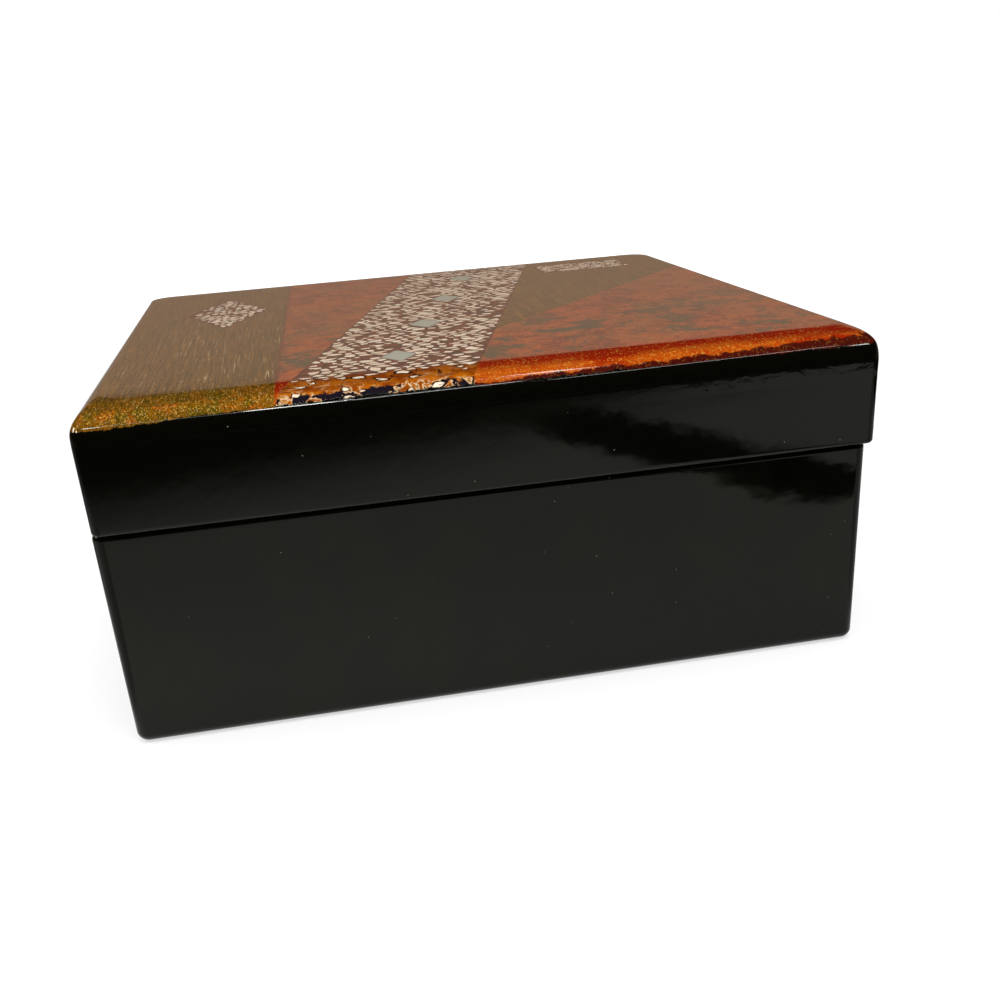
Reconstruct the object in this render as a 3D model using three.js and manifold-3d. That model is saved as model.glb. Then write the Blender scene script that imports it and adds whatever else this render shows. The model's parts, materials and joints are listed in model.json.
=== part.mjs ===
// A square lacquered jewelry box: a deep base with a divided well, a lift-out tray on top of the
// well's dividers, and a lift-off lid that drops over a raised lip. The lid's top edge is broadly
// rounded and its face is inlaid with crushed eggshell.
// Millimetres, +Z up, the front faces -Y. The origin is the middle of the base's underside.
import * as THREE from "three";
import { mergeVertices } from "three/addons/utils/BufferGeometryUtils.js";
import Module from "manifold-3d";

const wasm = await Module();
wasm.setup();

// Outer form
const lidWidth = 196.9; // left to right
const lidDepth = 200; // front to back
const lidHeight = 28.5;
const baseHeight = 56.6;
const lidSideOverhang = 0.25; // how far the lid stands proud of the base at left and right, when centred
const lidFrontOverhang = 1.8; // the same at the front and the back
const lidSideGap = 0.5; // the loose lid sits to the right of centre, which leaves this between its left wall and the lip
const lidSeatGap = 0.3; // between the base's rim and the lid's rim
const lidCornerRadius = 2.5; // of the lid's walls, seen from above
const lidFaceCornerRadius = 9; // of the lid's face, which the walls' corners grow to over the top edge
const lidTopRound = 7; // of the front and back top edges
const lidSideRound = 4.7; // of the left and right top edges
const lidShoulderWidth = 10; // the flat top eases down over this width before it rounds over
const lidShoulderFall = 0.4;
const lidRimRound = 1.6;
const baseCornerRadius = 3.2;
const baseFootRound = 2.8;
const baseRimRound = 1.2;

// Boards
const lidWallThickness = 7;
const lidTopThickness = 8;
const baseWallThickness = 8;
const baseFloorThickness = 5;
const linerThickness = 3;
const lipHeight = 8; // how far the liner stands above the base's rim
const glueLine = 0.1; // between boards that are glued together
const boardEdgeRound = 1; // softened top edges of liners, tray walls and dividers

// Well, under the tray
const wellDividerThickness = 4;
const wellDividerHeight = 30.6;
const lapClearance = 0.3; // each side of a half-lap joint, and under it

// Tray
const trayClearance = 1; // between the tray and the liner
const traySeatGap = 0.3; // between the tray and the dividers that carry it
const trayFloorThickness = 3;
const trayWallThickness = 3.5;
const trayWallHeight = 23;
const trayDividerThickness = 3;
const trayDividerDrop = 3; // dividers stop this far below the tray's walls
const gripWidth = 26; // the finger hole in the middle divider
const gripHeight = 10;
const gripCornerRadius = 4;
const gripTopMargin = 4;

// Soft linings
const padThickness = 1.2;
const padClearance = 0.4; // between a pad and the boards around it
const padCornerRadius = 1.5;
const lidLiningThickness = 1.5;
const ringRollCount = 4;
const ringRollHeight = 16;
const ringRollGap = 0.6; // slit that a ring's band goes into

// Inlay in the lid's face
const inlayThickness = 0.8;
const inlayGap = 0.3; // around and under a piece of inlay
const inlayEdgeAngle = 60; // degrees down the rounded edge that the inlay reaches
const bandFront = -29; // middle of the slanted band at the lid's front edge
const bandBack = 28; // and at its back edge
const bandWidth = 46; // measured left to right
const lozengeCount = 4;
const lozengeLength = 15;
const lozengeWidth = 10;
const diamondFromLeft = 32; // from the lid's edges to the diamond's middle
const diamondFromBack = 64;
const diamondLength = 62;
const diamondWidth = 26;
const barFromBand = 4; // between the bar and the band, at the bar's back edge
const barFromRight = 17; // from the lid's edges to the bar
const barFromBack = 21;
const barWidth = 18; // front to back

const roundSteps = 8; // facets in a quarter turn of a broad edge
const shoulderSteps = 3;
const leastRadius = 0.5; // of a corner that has shrunk away

// What follows from the sizes above
const baseWidth = lidWidth - 2 * lidSideOverhang;
const baseDepth = lidDepth - 2 * lidFrontOverhang;
const wellWidth = baseWidth - 2 * baseWallThickness; // between the base's walls
const wellDepth = baseDepth - 2 * baseWallThickness;
const linerInsideWidth = wellWidth - 2 * (linerThickness + glueLine);
const linerInsideDepth = wellDepth - 2 * (linerThickness + glueLine);
const linerBottom = baseFloorThickness + glueLine;
const linerHeight = baseHeight + lipHeight - linerBottom;
const wellFloor = baseFloorThickness + glueLine;
const trayBottom = wellFloor + wellDividerHeight + traySeatGap;
const trayWidth = linerInsideWidth - 2 * trayClearance;
const trayDepth = linerInsideDepth - 2 * trayClearance;
const trayInsideWidth = trayWidth - 2 * trayWallThickness;
const trayInsideDepth = trayDepth - 2 * trayWallThickness;
const trayFloorTop = trayFloorThickness + glueLine;
const trayDividerHeight = trayWallHeight - trayDividerDrop;
const lidBottom = baseHeight + lidSeatGap;
const lidShift = lidWidth / 2 - lidWallThickness - (wellWidth / 2 - glueLine) - lidSideGap;

const lacquer = new THREE.MeshStandardMaterial({ color: 0x0b0b0a, roughness: 0.08, metalness: 0 });
const lidFace = new THREE.MeshStandardMaterial({ color: 0x8a3a1c, roughness: 0.12, metalness: 0 });
const innerLacquer = new THREE.MeshStandardMaterial({ color: 0x14100e, roughness: 0.25, metalness: 0 });
const trayLacquer = new THREE.MeshStandardMaterial({ color: 0x6e1510, roughness: 0.2, metalness: 0 });
const velvet = new THREE.MeshStandardMaterial({ color: 0x4a0d12, roughness: 0.95, metalness: 0 });
const eggshell = new THREE.MeshStandardMaterial({ color: 0xdccdb4, roughness: 0.2, metalness: 0 });
const greyChip = new THREE.MeshStandardMaterial({ color: 0x808a7c, roughness: 0.2, metalness: 0 });

// Geometry to a solid that can be cut, and back again
function solidOf(geometry) {
  const bare = new THREE.BufferGeometry();
  bare.setAttribute("position", geometry.getAttribute("position"));
  if (geometry.index) bare.setIndex(geometry.index);
  const merged = mergeVertices(bare, 1e-4);
  return new wasm.Manifold(
    new wasm.Mesh({
      numProp: 3,
      vertProperties: new Float32Array(merged.getAttribute("position").array),
      triVerts: new Uint32Array(merged.index.array),
    }),
  );
}

function geometryOf(solid) {
  const { vertProperties, triVerts, numProp } = solid.getMesh();
  const positions = new Float32Array((vertProperties.length / numProp) * 3);
  for (let i = 0; i < positions.length / 3; i++) {
    positions.set(vertProperties.subarray(i * numProp, i * numProp + 3), i * 3);
  }
  const geometry = new THREE.BufferGeometry();
  geometry.setAttribute("position", new THREE.BufferAttribute(positions, 3));
  geometry.setIndex(new THREE.BufferAttribute(new Uint32Array(triVerts), 1));
  const faceted = geometry.toNonIndexed();
  faceted.computeVertexNormals();
  return faceted;
}

// A rectangular block given by its lowest corner and its size
function block(x, y, z, width, depth, height) {
  return new THREE.BoxGeometry(width, depth, height).translate(x + width / 2, y + depth / 2, z + height / 2);
}

// How far a quarter round has moved in at a depth below its top
function insetOfRound(depth, radius) {
  return depth < radius ? radius - Math.sqrt(radius ** 2 - (radius - depth) ** 2) : 0;
}

// A block with rounded corners from above, and edges rounded by arcs at top and bottom.
// Its flat top can ease down by a parabola, the shoulder, and the top edge's arc carries on from the
// slope that the shoulder ends with. Its left and right top edges can have a round of their own, without
// the shoulder, and its corners another radius at the top, which they grow to over the top edge.
// It is lofted through rounded outlines that shrink over each edge.
function roundedBlock({ width, depth, bottom, top, cornerRadius, topRound, footRound, shoulder, fall, ...more }) {
  const { sideRound, topCornerRadius } = more;
  const levels = [];
  for (let i = roundSteps; i >= 0; i--) {
    const a = (i / roundSteps) * (Math.PI / 2);
    levels.push({ z: bottom + footRound * (1 - Math.sin(a)), inset: footRound * (1 - Math.cos(a)), foot: true });
  }
  const slope = shoulder > 0 ? Math.atan((2 * fall) / shoulder) : 0;
  for (let i = roundSteps; i >= 0; i--) {
    const tilt = slope + (i / roundSteps) * (Math.PI / 2 - slope);
    const z = top - fall - topRound * (Math.cos(slope) - Math.cos(tilt));
    levels.push({ z, inset: topRound * (1 - Math.sin(tilt)) });
  }
  for (let i = 1; i <= shoulderSteps && shoulder > 0; i++) {
    const t = i / shoulderSteps;
    levels.push({ z: top - fall * (1 - t) ** 2, inset: topRound * (1 - Math.sin(slope)) + shoulder * t });
  }
  const positions = [];
  const perRing = 4 * (roundSteps + 1);
  for (const { z, inset, foot } of levels) {
    const grown = cornerRadius + (topCornerRadius - cornerRadius) * Math.min(inset / topRound, 1);
    const radius = Math.max(foot || !topCornerRadius ? cornerRadius - inset : grown, leastRadius);
    const sideInset = foot || !sideRound ? inset : insetOfRound(top - z, sideRound);
    for (let corner = 0; corner < 4; corner++) {
      const cx = (corner === 0 || corner === 3 ? 1 : -1) * (width / 2 - sideInset - radius);
      const cy = (corner < 2 ? 1 : -1) * (depth / 2 - inset - radius);
      for (let i = 0; i <= roundSteps; i++) {
        const a = (corner + i / roundSteps) * (Math.PI / 2);
        positions.push(cx + radius * Math.cos(a), cy + radius * Math.sin(a), z);
      }
    }
  }
  const index = [];
  for (let ring = 0; ring + 1 < levels.length; ring++) {
    for (let i = 0; i < perRing; i++) {
      const a = ring * perRing + i;
      const b = ring * perRing + ((i + 1) % perRing);
      index.push(a, b, b + perRing, a, b + perRing, a + perRing);
    }
  }
  const last = (levels.length - 1) * perRing;
  for (let i = 1; i + 1 < perRing; i++) {
    index.push(0, i + 1, i, last, last + i, last + i + 1);
  }
  const geometry = new THREE.BufferGeometry();
  geometry.setAttribute("position", new THREE.Float32BufferAttribute(positions, 3));
  geometry.setIndex(index);
  return solidOf(geometry);
}

// A board standing on edge along X, its two top edges softened, centred on x and y, bottom at 0
function railGeometry(length, thickness, height, edgeRound = boardEdgeRound) {
  const half = thickness / 2;
  const section = new THREE.Shape();
  section.moveTo(-half, 0);
  section.lineTo(half, 0);
  section.lineTo(half, height - edgeRound);
  section.absarc(half - edgeRound, height - edgeRound, edgeRound, 0, Math.PI / 2);
  section.lineTo(-half + edgeRound, height);
  section.absarc(-half + edgeRound, height - edgeRound, edgeRound, Math.PI / 2, Math.PI);
  section.closePath();
  const rail = new THREE.ExtrudeGeometry(section, { depth: length, bevelEnabled: false, curveSegments: 4 });
  return rail.translate(0, 0, -length / 2).rotateX(Math.PI / 2).rotateZ(Math.PI / 2);
}

// A rectangle with round corners, centred on the origin
function roundedRectangle(width, height, radius) {
  const w = width / 2;
  const h = height / 2;
  const outline = new THREE.Shape();
  outline.moveTo(-w + radius, -h);
  outline.lineTo(w - radius, -h);
  outline.absarc(w - radius, -h + radius, radius, -Math.PI / 2, 0);
  outline.lineTo(w, h - radius);
  outline.absarc(w - radius, h - radius, radius, 0, Math.PI / 2);
  outline.lineTo(-w + radius, h);
  outline.absarc(-w + radius, h - radius, radius, Math.PI / 2, Math.PI);
  outline.lineTo(-w, -h + radius);
  outline.absarc(-w + radius, -h + radius, radius, Math.PI, 1.5 * Math.PI);
  return outline;
}

// A thin pad with rounded corners, centred on x and y, bottom at 0
function padGeometry(width, depth, thickness) {
  const outline = roundedRectangle(width, depth, padCornerRadius);
  return new THREE.ExtrudeGeometry(outline, { depth: thickness, bevelEnabled: false, curveSegments: 4 });
}

function addMesh(group, name, geometry, material, x = 0, y = 0, z = 0, turn = 0) {
  const mesh = new THREE.Mesh(geometry, material);
  mesh.name = name;
  mesh.position.set(x, y, z);
  mesh.rotation.z = turn;
  group.add(mesh);
  return mesh;
}

const quarterTurn = Math.PI / 2;

// Cuts a rounded form into front, back, left and right walls, butted at the corners
function wallsOf(form, width, depth, thickness, height) {
  const side = depth - 2 * (thickness + glueLine);
  const cut = (x, y, w, d) => geometryOf(form.intersect(solidOf(block(x, y, 0, w, d, height))));
  return {
    front: cut(-width / 2, -depth / 2, width, thickness),
    back: cut(-width / 2, depth / 2 - thickness, width, thickness),
    left: cut(-width / 2, -side / 2, thickness, side),
    right: cut(width / 2 - thickness, -side / 2, thickness, side),
  };
}

function buildBaseShell(group) {
  const form = roundedBlock({
    width: baseWidth,
    depth: baseDepth,
    bottom: 0,
    top: baseHeight,
    cornerRadius: baseCornerRadius,
    topRound: baseRimRound,
    footRound: baseFootRound,
    shoulder: 0,
    fall: 0,
  });
  const walls = wallsOf(form, baseWidth, baseDepth, baseWallThickness, baseHeight);
  for (const side of Object.keys(walls)) {
    addMesh(group, `base_${side}_wall`, walls[side], lacquer);
  }
  const width = wellWidth - 2 * glueLine;
  const depth = wellDepth - 2 * glueLine;
  addMesh(group, "base_floor_panel", block(-width / 2, -depth / 2, 0, width, depth, baseFloorThickness), lacquer);
}

// Thin boards inside the base's walls; what stands above the rim is the lip that locates the lid
function buildLiner(group) {
  const length = wellWidth - 2 * glueLine;
  const sideLength = linerInsideDepth - 2 * glueLine;
  const y = wellDepth / 2 - glueLine - linerThickness / 2;
  const x = wellWidth / 2 - glueLine - linerThickness / 2;
  const long = () => railGeometry(length, linerThickness, linerHeight);
  const short = () => railGeometry(sideLength, linerThickness, linerHeight);
  addMesh(group, "liner_front", long(), innerLacquer, 0, -y, linerBottom);
  addMesh(group, "liner_back", long(), innerLacquer, 0, y, linerBottom);
  addMesh(group, "liner_left", short(), innerLacquer, -x, 0, linerBottom, quarterTurn);
  addMesh(group, "liner_right", short(), innerLacquer, x, 0, linerBottom, quarterTurn);
}

// Two crossed boards, half-lapped at the middle, that part the well and carry the tray
function buildWell(group) {
  const slot = wellDividerThickness + 2 * lapClearance;
  const half = wellDividerHeight / 2;
  const length = linerInsideWidth - 2 * glueLine;
  const depth = linerInsideDepth - 2 * glueLine;
  const reach = wellDividerThickness; // the cutter runs past both faces of the board
  const cutFromTop = solidOf(block(-slot / 2, -reach, half - lapClearance, slot, 2 * reach, half + reach));
  const cutFromBelow = solidOf(block(-slot / 2, -reach, -reach, slot, 2 * reach, half + reach));
  const lengthwise = solidOf(railGeometry(length, wellDividerThickness, wellDividerHeight)).subtract(cutFromTop);
  const crosswise = solidOf(railGeometry(depth, wellDividerThickness, wellDividerHeight)).subtract(cutFromBelow);
  addMesh(group, "well_divider_lengthwise", geometryOf(lengthwise), innerLacquer, 0, 0, wellFloor);
  addMesh(group, "well_divider_crosswise", geometryOf(crosswise), innerLacquer, 0, 0, wellFloor, quarterTurn);

  const padWidth = (linerInsideWidth - wellDividerThickness) / 2 - 2 * padClearance;
  const padDepth = (linerInsideDepth - wellDividerThickness) / 2 - 2 * padClearance;
  for (const [yName, ySign] of [["front", -1], ["back", 1]]) {
    for (const [xName, xSign] of [["left", -1], ["right", 1]]) {
      const x = (xSign * (linerInsideWidth + wellDividerThickness)) / 4;
      const y = (ySign * (linerInsideDepth + wellDividerThickness)) / 4;
      const pad = padGeometry(padWidth, padDepth, padThickness);
      addMesh(group, `well_pad_${yName}_${xName}`, pad, velvet, x, y, wellFloor);
    }
  }
}

// The tray's frame: a floor with four walls on it
function buildTrayFrame(group) {
  const floor = block(-trayWidth / 2, -trayDepth / 2, 0, trayWidth, trayDepth, trayFloorThickness);
  addMesh(group, "tray_floor", floor, trayLacquer);
  const sideLength = trayInsideDepth - 2 * glueLine;
  const y = (trayDepth - trayWallThickness) / 2;
  const x = (trayWidth - trayWallThickness) / 2;
  const long = () => railGeometry(trayWidth, trayWallThickness, trayWallHeight);
  const short = () => railGeometry(sideLength, trayWallThickness, trayWallHeight);
  addMesh(group, "tray_front_wall", long(), trayLacquer, 0, -y, trayFloorTop);
  addMesh(group, "tray_back_wall", long(), trayLacquer, 0, y, trayFloorTop);
  addMesh(group, "tray_left_wall", short(), trayLacquer, -x, 0, trayFloorTop, quarterTurn);
  addMesh(group, "tray_right_wall", short(), trayLacquer, x, 0, trayFloorTop, quarterTurn);
}

// Centres of the tray's three rows of cells, front to back, and of its two columns
const rowDepth = (trayInsideDepth - 2 * trayDividerThickness) / 3;
const rowCentres = [-1, 0, 1].map((i) => i * (rowDepth + trayDividerThickness));
const columnWidth = (trayInsideWidth - trayDividerThickness) / 2;
const columnCentre = (columnWidth + trayDividerThickness) / 2;
const crossDividerY = (rowDepth + trayDividerThickness) / 2;

// The middle divider is the tray's handle, so it is as tall as the walls and has a finger hole
function buildTrayDividers(group) {
  const slot = trayDividerThickness + 2 * lapClearance;
  const half = trayDividerHeight / 2;
  const reach = trayDividerThickness;
  const height = trayWallHeight;
  const length = trayInsideDepth - 2 * glueLine;
  const gripZ = height - gripTopMargin - gripHeight / 2;
  const gripOutline = roundedRectangle(gripWidth, gripHeight, gripCornerRadius);
  const grip = new THREE.ExtrudeGeometry(gripOutline, { depth: 2 * reach, bevelEnabled: false, curveSegments: 6 });
  grip.translate(0, 0, -reach).rotateX(Math.PI / 2).translate(0, 0, gripZ);
  let middle = solidOf(railGeometry(length, trayDividerThickness, height)).subtract(solidOf(grip));
  for (const along of [-crossDividerY, crossDividerY]) {
    const cutter = block(along - slot / 2, -reach, half - lapClearance, slot, 2 * reach, height);
    middle = middle.subtract(solidOf(cutter));
  }
  addMesh(group, "tray_middle_divider", geometryOf(middle), trayLacquer, 0, 0, trayFloorTop, quarterTurn);

  const crossLength = trayInsideWidth - 2 * glueLine;
  const cutFromBelow = solidOf(block(-slot / 2, -reach, -reach, slot, 2 * reach, half + reach));
  for (const [name, sign] of [["front", -1], ["back", 1]]) {
    const cross = solidOf(railGeometry(crossLength, trayDividerThickness, trayDividerHeight)).subtract(cutFromBelow);
    const y = sign * crossDividerY;
    addMesh(group, `tray_cross_divider_${name}`, geometryOf(cross), trayLacquer, 0, y, trayFloorTop);
  }
}

// Velvet in five cells, and ring rolls in the front left one
function buildTrayLinings(group) {
  const padWidth = columnWidth - 2 * padClearance;
  const padDepth = rowDepth - 2 * padClearance;
  const rowNames = ["front", "middle", "back"];
  for (const [row, y] of rowCentres.entries()) {
    for (const [xName, sign] of [["left", -1], ["right", 1]]) {
      const forRings = row === 0 && sign < 0;
      if (forRings) continue;
      const pad = padGeometry(padWidth, padDepth, padThickness);
      addMesh(group, `tray_pad_${rowNames[row]}_${xName}`, pad, velvet, sign * columnCentre, y, trayFloorTop);
    }
  }
  const pitch = padDepth / ringRollCount;
  const rollWidth = pitch - ringRollGap;
  for (let i = 0; i < ringRollCount; i++) {
    const y = rowCentres[0] - padDepth / 2 + (i + 0.5) * pitch;
    const roll = railGeometry(padWidth, rollWidth, ringRollHeight, rollWidth / 2 - 0.05);
    addMesh(group, `ring_roll_${i + 1}`, roll, velvet, -columnCentre, y, trayFloorTop);
  }
}

// The lid's outer form, or the same form moved in by a distance on every side but its open rim
function lidForm(inset) {
  return roundedBlock({
    width: lidWidth - 2 * inset,
    depth: lidDepth - 2 * inset,
    bottom: 0,
    top: lidHeight - inset,
    cornerRadius: lidCornerRadius - inset,
    topRound: lidTopRound - inset,
    footRound: lidRimRound,
    shoulder: lidShoulderWidth,
    fall: lidShoulderFall,
    sideRound: lidSideRound - inset,
    topCornerRadius: lidFaceCornerRadius - inset,
  });
}

// Where the band's middle is at a distance behind the lid's middle
function bandMiddle(y) {
  return (bandFront + bandBack) / 2 + (y * (bandBack - bandFront)) / lidDepth;
}

// Outlines of the inlay on the lid's face, as corner points in order, grown by a margin
function bandOutline(margin) {
  const reach = lidDepth / 2 + lidTopRound;
  const half = bandWidth / 2 + margin * Math.hypot(1, (bandBack - bandFront) / lidDepth);
  return [
    [bandMiddle(-reach) - half, -reach],
    [bandMiddle(-reach) + half, -reach],
    [bandMiddle(reach) + half, reach],
    [bandMiddle(reach) - half, reach],
  ];
}

function rhombusOutline(x, y, width, length, margin) {
  const grow = (margin * Math.hypot(width, length)) / (width * length);
  const w = (width / 2) * (1 + 2 * grow);
  const l = (length / 2) * (1 + 2 * grow);
  return [[x, y - l], [x + w, y], [x, y + l], [x - w, y]];
}

// The bar fills what the band leaves of the lid's back right part, less its clearances
function barOutline(margin) {
  const back = lidDepth / 2 - barFromBack + margin;
  const front = back - barWidth - 2 * margin;
  const left = bandMiddle(lidDepth / 2 - barFromBack) + bandWidth / 2 + barFromBand - margin;
  const right = lidWidth / 2 - barFromRight + margin;
  return [[left, front], [right, front], [right, back], [left, back]];
}

function lozengePlaces() {
  const pitch = lidDepth / (lozengeCount + 0.5);
  return Array.from({ length: lozengeCount }, (_, i) => {
    const y = (i - (lozengeCount - 1) / 2) * pitch;
    return [bandMiddle(y), y];
  });
}

// A solid that stands over an outline through the whole lid
function prismOver(points) {
  const outline = new THREE.Shape(points.map(([x, y]) => new THREE.Vector2(x, y)));
  return solidOf(new THREE.ExtrudeGeometry(outline, { depth: 2 * lidHeight, bevelEnabled: false }));
}

function buildLidShell(group, form, inlays) {
  const topBottom = lidHeight - lidTopThickness;
  const wallHeight = topBottom - glueLine;
  const walls = wallsOf(form, lidWidth, lidDepth, lidWallThickness, wallHeight);
  for (const side of Object.keys(walls)) {
    addMesh(group, `lid_${side}_wall`, walls[side], lacquer);
  }
  const slab = solidOf(block(-lidWidth / 2, -lidDepth / 2, topBottom, lidWidth, lidDepth, lidTopThickness));
  const pocketFloor = lidForm(inlayThickness + inlayGap);
  let top = form.intersect(slab);
  for (const { outline } of inlays) {
    const pocket = prismOver(outline(inlayGap)).subtract(pocketFloor).intersect(inlayZone(-inlayGap));
    top = top.subtract(pocket);
  }
  addMesh(group, "lid_top_panel", geometryOf(top), lidFace);

  const lining = padGeometry(
    lidWidth - 2 * lidWallThickness - 2 * padClearance,
    lidDepth - 2 * lidWallThickness - 2 * padClearance,
    lidLiningThickness,
  );
  addMesh(group, "lid_lining", lining, velvet, 0, 0, topBottom - glueLine - lidLiningThickness);
}

// The height that the inlay reaches down to, as a block over the lid; extra lowers or lifts it
function inlayZone(extra) {
  const drop = lidShoulderFall + lidTopRound * (1 - Math.cos((inlayEdgeAngle * Math.PI) / 180));
  return solidOf(block(-lidWidth, -lidDepth, lidHeight - drop + extra, 2 * lidWidth, 2 * lidDepth, lidHeight));
}

function buildInlays(group, form, inlays) {
  const skin = form.subtract(lidForm(inlayThickness)).intersect(inlayZone(0));
  const lozenges = lozengePlaces().map(([x, y], i) => ({
    name: `band_lozenge_${i + 1}`,
    outline: (margin) => rhombusOutline(x, y, lozengeWidth, lozengeLength, margin),
  }));
  for (const { name, outline } of inlays) {
    let piece = skin.intersect(prismOver(outline(0)));
    if (name === "eggshell_band") {
      for (const lozenge of lozenges) piece = piece.subtract(prismOver(lozenge.outline(inlayGap)));
    }
    addMesh(group, name, geometryOf(piece), eggshell);
  }
  for (const { name, outline } of lozenges) {
    addMesh(group, name, geometryOf(skin.intersect(prismOver(outline(0)))), greyChip);
  }
}

function buildLid(group) {
  const form = lidForm(0);
  const diamondX = -lidWidth / 2 + diamondFromLeft;
  const diamondY = lidDepth / 2 - diamondFromBack;
  const inlays = [
    { name: "eggshell_band", outline: bandOutline },
    {
      name: "eggshell_diamond",
      outline: (margin) => rhombusOutline(diamondX, diamondY, diamondWidth, diamondLength, margin),
    },
    { name: "eggshell_bar", outline: barOutline },
  ];
  buildLidShell(group, form, inlays);
  buildInlays(group, form, inlays);
}

const box = new THREE.Group();

const base = new THREE.Group();
buildBaseShell(base);
buildLiner(base);
buildWell(base);
box.add(base);

const tray = new THREE.Group();
tray.position.z = trayBottom;
buildTrayFrame(tray);
buildTrayDividers(tray);
buildTrayLinings(tray);
box.add(tray);

const lid = new THREE.Group();
lid.position.set(lidShift, 0, lidBottom);
buildLid(lid);
box.add(lid);

export default box;
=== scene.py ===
"""Dresses a lacquered jewelry box over its fixed frame.

The outside is one polished lacquer skin on the base and one on the lid. The lid's face has two lacquers,
brushed olive gold and mottled red, worn through to black at the edge, with crushed eggshell set flush in it.
Inside are satin boards, velvet pads and ring cushions. Lengths are metres, and patterns are in millimetres.
"""

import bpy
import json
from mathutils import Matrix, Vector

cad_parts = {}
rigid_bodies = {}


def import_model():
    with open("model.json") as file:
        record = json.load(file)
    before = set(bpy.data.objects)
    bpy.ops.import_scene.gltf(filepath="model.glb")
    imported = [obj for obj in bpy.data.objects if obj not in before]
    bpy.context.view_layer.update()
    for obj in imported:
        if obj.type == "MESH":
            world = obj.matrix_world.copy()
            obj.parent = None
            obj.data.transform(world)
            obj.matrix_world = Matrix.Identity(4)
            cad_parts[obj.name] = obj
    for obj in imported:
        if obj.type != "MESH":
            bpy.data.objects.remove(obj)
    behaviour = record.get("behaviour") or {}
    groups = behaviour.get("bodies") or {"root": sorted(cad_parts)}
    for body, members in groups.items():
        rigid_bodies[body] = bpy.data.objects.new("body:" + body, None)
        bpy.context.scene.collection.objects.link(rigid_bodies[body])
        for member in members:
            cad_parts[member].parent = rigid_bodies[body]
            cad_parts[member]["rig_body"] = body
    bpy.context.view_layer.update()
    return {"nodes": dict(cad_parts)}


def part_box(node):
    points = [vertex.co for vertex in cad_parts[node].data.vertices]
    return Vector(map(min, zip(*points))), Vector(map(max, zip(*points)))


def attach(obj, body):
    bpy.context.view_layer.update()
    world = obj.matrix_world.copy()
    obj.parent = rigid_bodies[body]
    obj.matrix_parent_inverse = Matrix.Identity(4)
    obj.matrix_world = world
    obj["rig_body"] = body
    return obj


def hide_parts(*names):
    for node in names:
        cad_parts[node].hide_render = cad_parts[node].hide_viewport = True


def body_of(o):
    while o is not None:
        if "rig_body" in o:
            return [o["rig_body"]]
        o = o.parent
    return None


bl_info = {
    "name": "Lacquered Jewelry Box",
    "version": (1, 0, 0),
    "blender": (4, 5, 0),
    "location": "3D View > Sidebar > Jewelry Box",
    "description": "Dresses a jewelry box with lacquer, eggshell inlay and velvet, and lights it",
    "category": "Add Mesh",
}

import json
import math
from collections import namedtuple

import bpy
import numpy as np
from mathutils import Matrix, Vector

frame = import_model()

MM = 0.001
LID_NODES = ["lid_front_wall", "lid_back_wall", "lid_left_wall", "lid_right_wall", "lid_top_panel"]
BASE_NODES = ["base_front_wall", "base_back_wall", "base_left_wall", "base_right_wall"]
LINING_BOARDS = ["liner_front", "liner_back", "liner_left", "liner_right"]
WELL_DIVIDERS = ["well_divider_lengthwise", "well_divider_crosswise"]
TRAY_BOARDS = [name for name in frame["nodes"] if name.startswith("tray_") and "pad" not in name]
THIN_PADS = [name for name in frame["nodes"] if "_pad_" in name]
RING_ROLLS = [name for name in frame["nodes"] if name.startswith("ring_roll")]
LOZENGES = [name for name in frame["nodes"] if name.startswith("band_lozenge")]


def box_round(nodes):
    """Lowest and highest corner of the box round several CAD nodes, as arrays."""
    corners = np.array([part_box(node) for node in nodes], float)
    return corners[:, 0].min(axis=0), corners[:, 1].max(axis=0)


LID_LOW, LID_HIGH = box_round(LID_NODES)
BASE_LOW, BASE_HIGH = box_round(BASE_NODES)
LID_CENTRE = (LID_LOW + LID_HIGH) / 2
FRONT_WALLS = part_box("lid_front_wall"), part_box("base_front_wall")
LID_WALL, BASE_WALL = (float(high[1] - low[1]) for low, high in FRONT_WALLS)
LID_CEILING = float(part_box("lid_top_panel")[0][2])


# Settings


def length_setting(name, description, value):
    return bpy.props.FloatProperty(name=name, description=description, default=value, unit="LENGTH")


def angle_setting(name, description, degrees):
    value = math.radians(degrees)
    return bpy.props.FloatProperty(name=name, description=description, default=value, unit="ROTATION")


def colour_setting(name, description, value):
    return bpy.props.FloatVectorProperty(name=name, description=description, default=value, subtype="COLOR")


class LidSettings(bpy.types.PropertyGroup):
    corner_radius: length_setting("Corner radius", "Of the lid's walls seen from above", 2.5 * MM)
    face_corner: length_setting("Face corner radius", "Of the lid's face seen from above", 9 * MM)
    top_round: length_setting("Top edge radius", "Of the lid's front and back top edges", 7 * MM)
    left_round: length_setting("Left edge radius", "Of the lid's left top edge", 4.9 * MM)
    right_round: length_setting("Right edge radius", "Of the lid's right top edge", 3.5 * MM)
    shoulder_width: length_setting("Shoulder width", "Over which the face eases down to its edge", 10 * MM)
    shoulder_fall: length_setting("Shoulder fall", "How far the face eases down", 0.4 * MM)
    rim_round: length_setting("Rim radius", "Of the lid's lower edge", 1.0 * MM)
    inlay_rise: length_setting("Inlay rise", "How far the lacquer lies below the inlay's top", 0.06 * MM)
    gold: colour_setting("Olive gold", "Of the brushed lacquer", (0.171, 0.078, 0.010))
    red: colour_setting("Red", "Of the mottled lacquer", (0.35, 0.060, 0.009))
    amber: colour_setting("Amber", "Of the lacquer between chips at the front edge", (0.40, 0.102, 0.002))
    shell_bed: colour_setting("Inlay bed", "Of the lacquer between chips on the face", (0.16, 0.024, 0.006))


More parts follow.
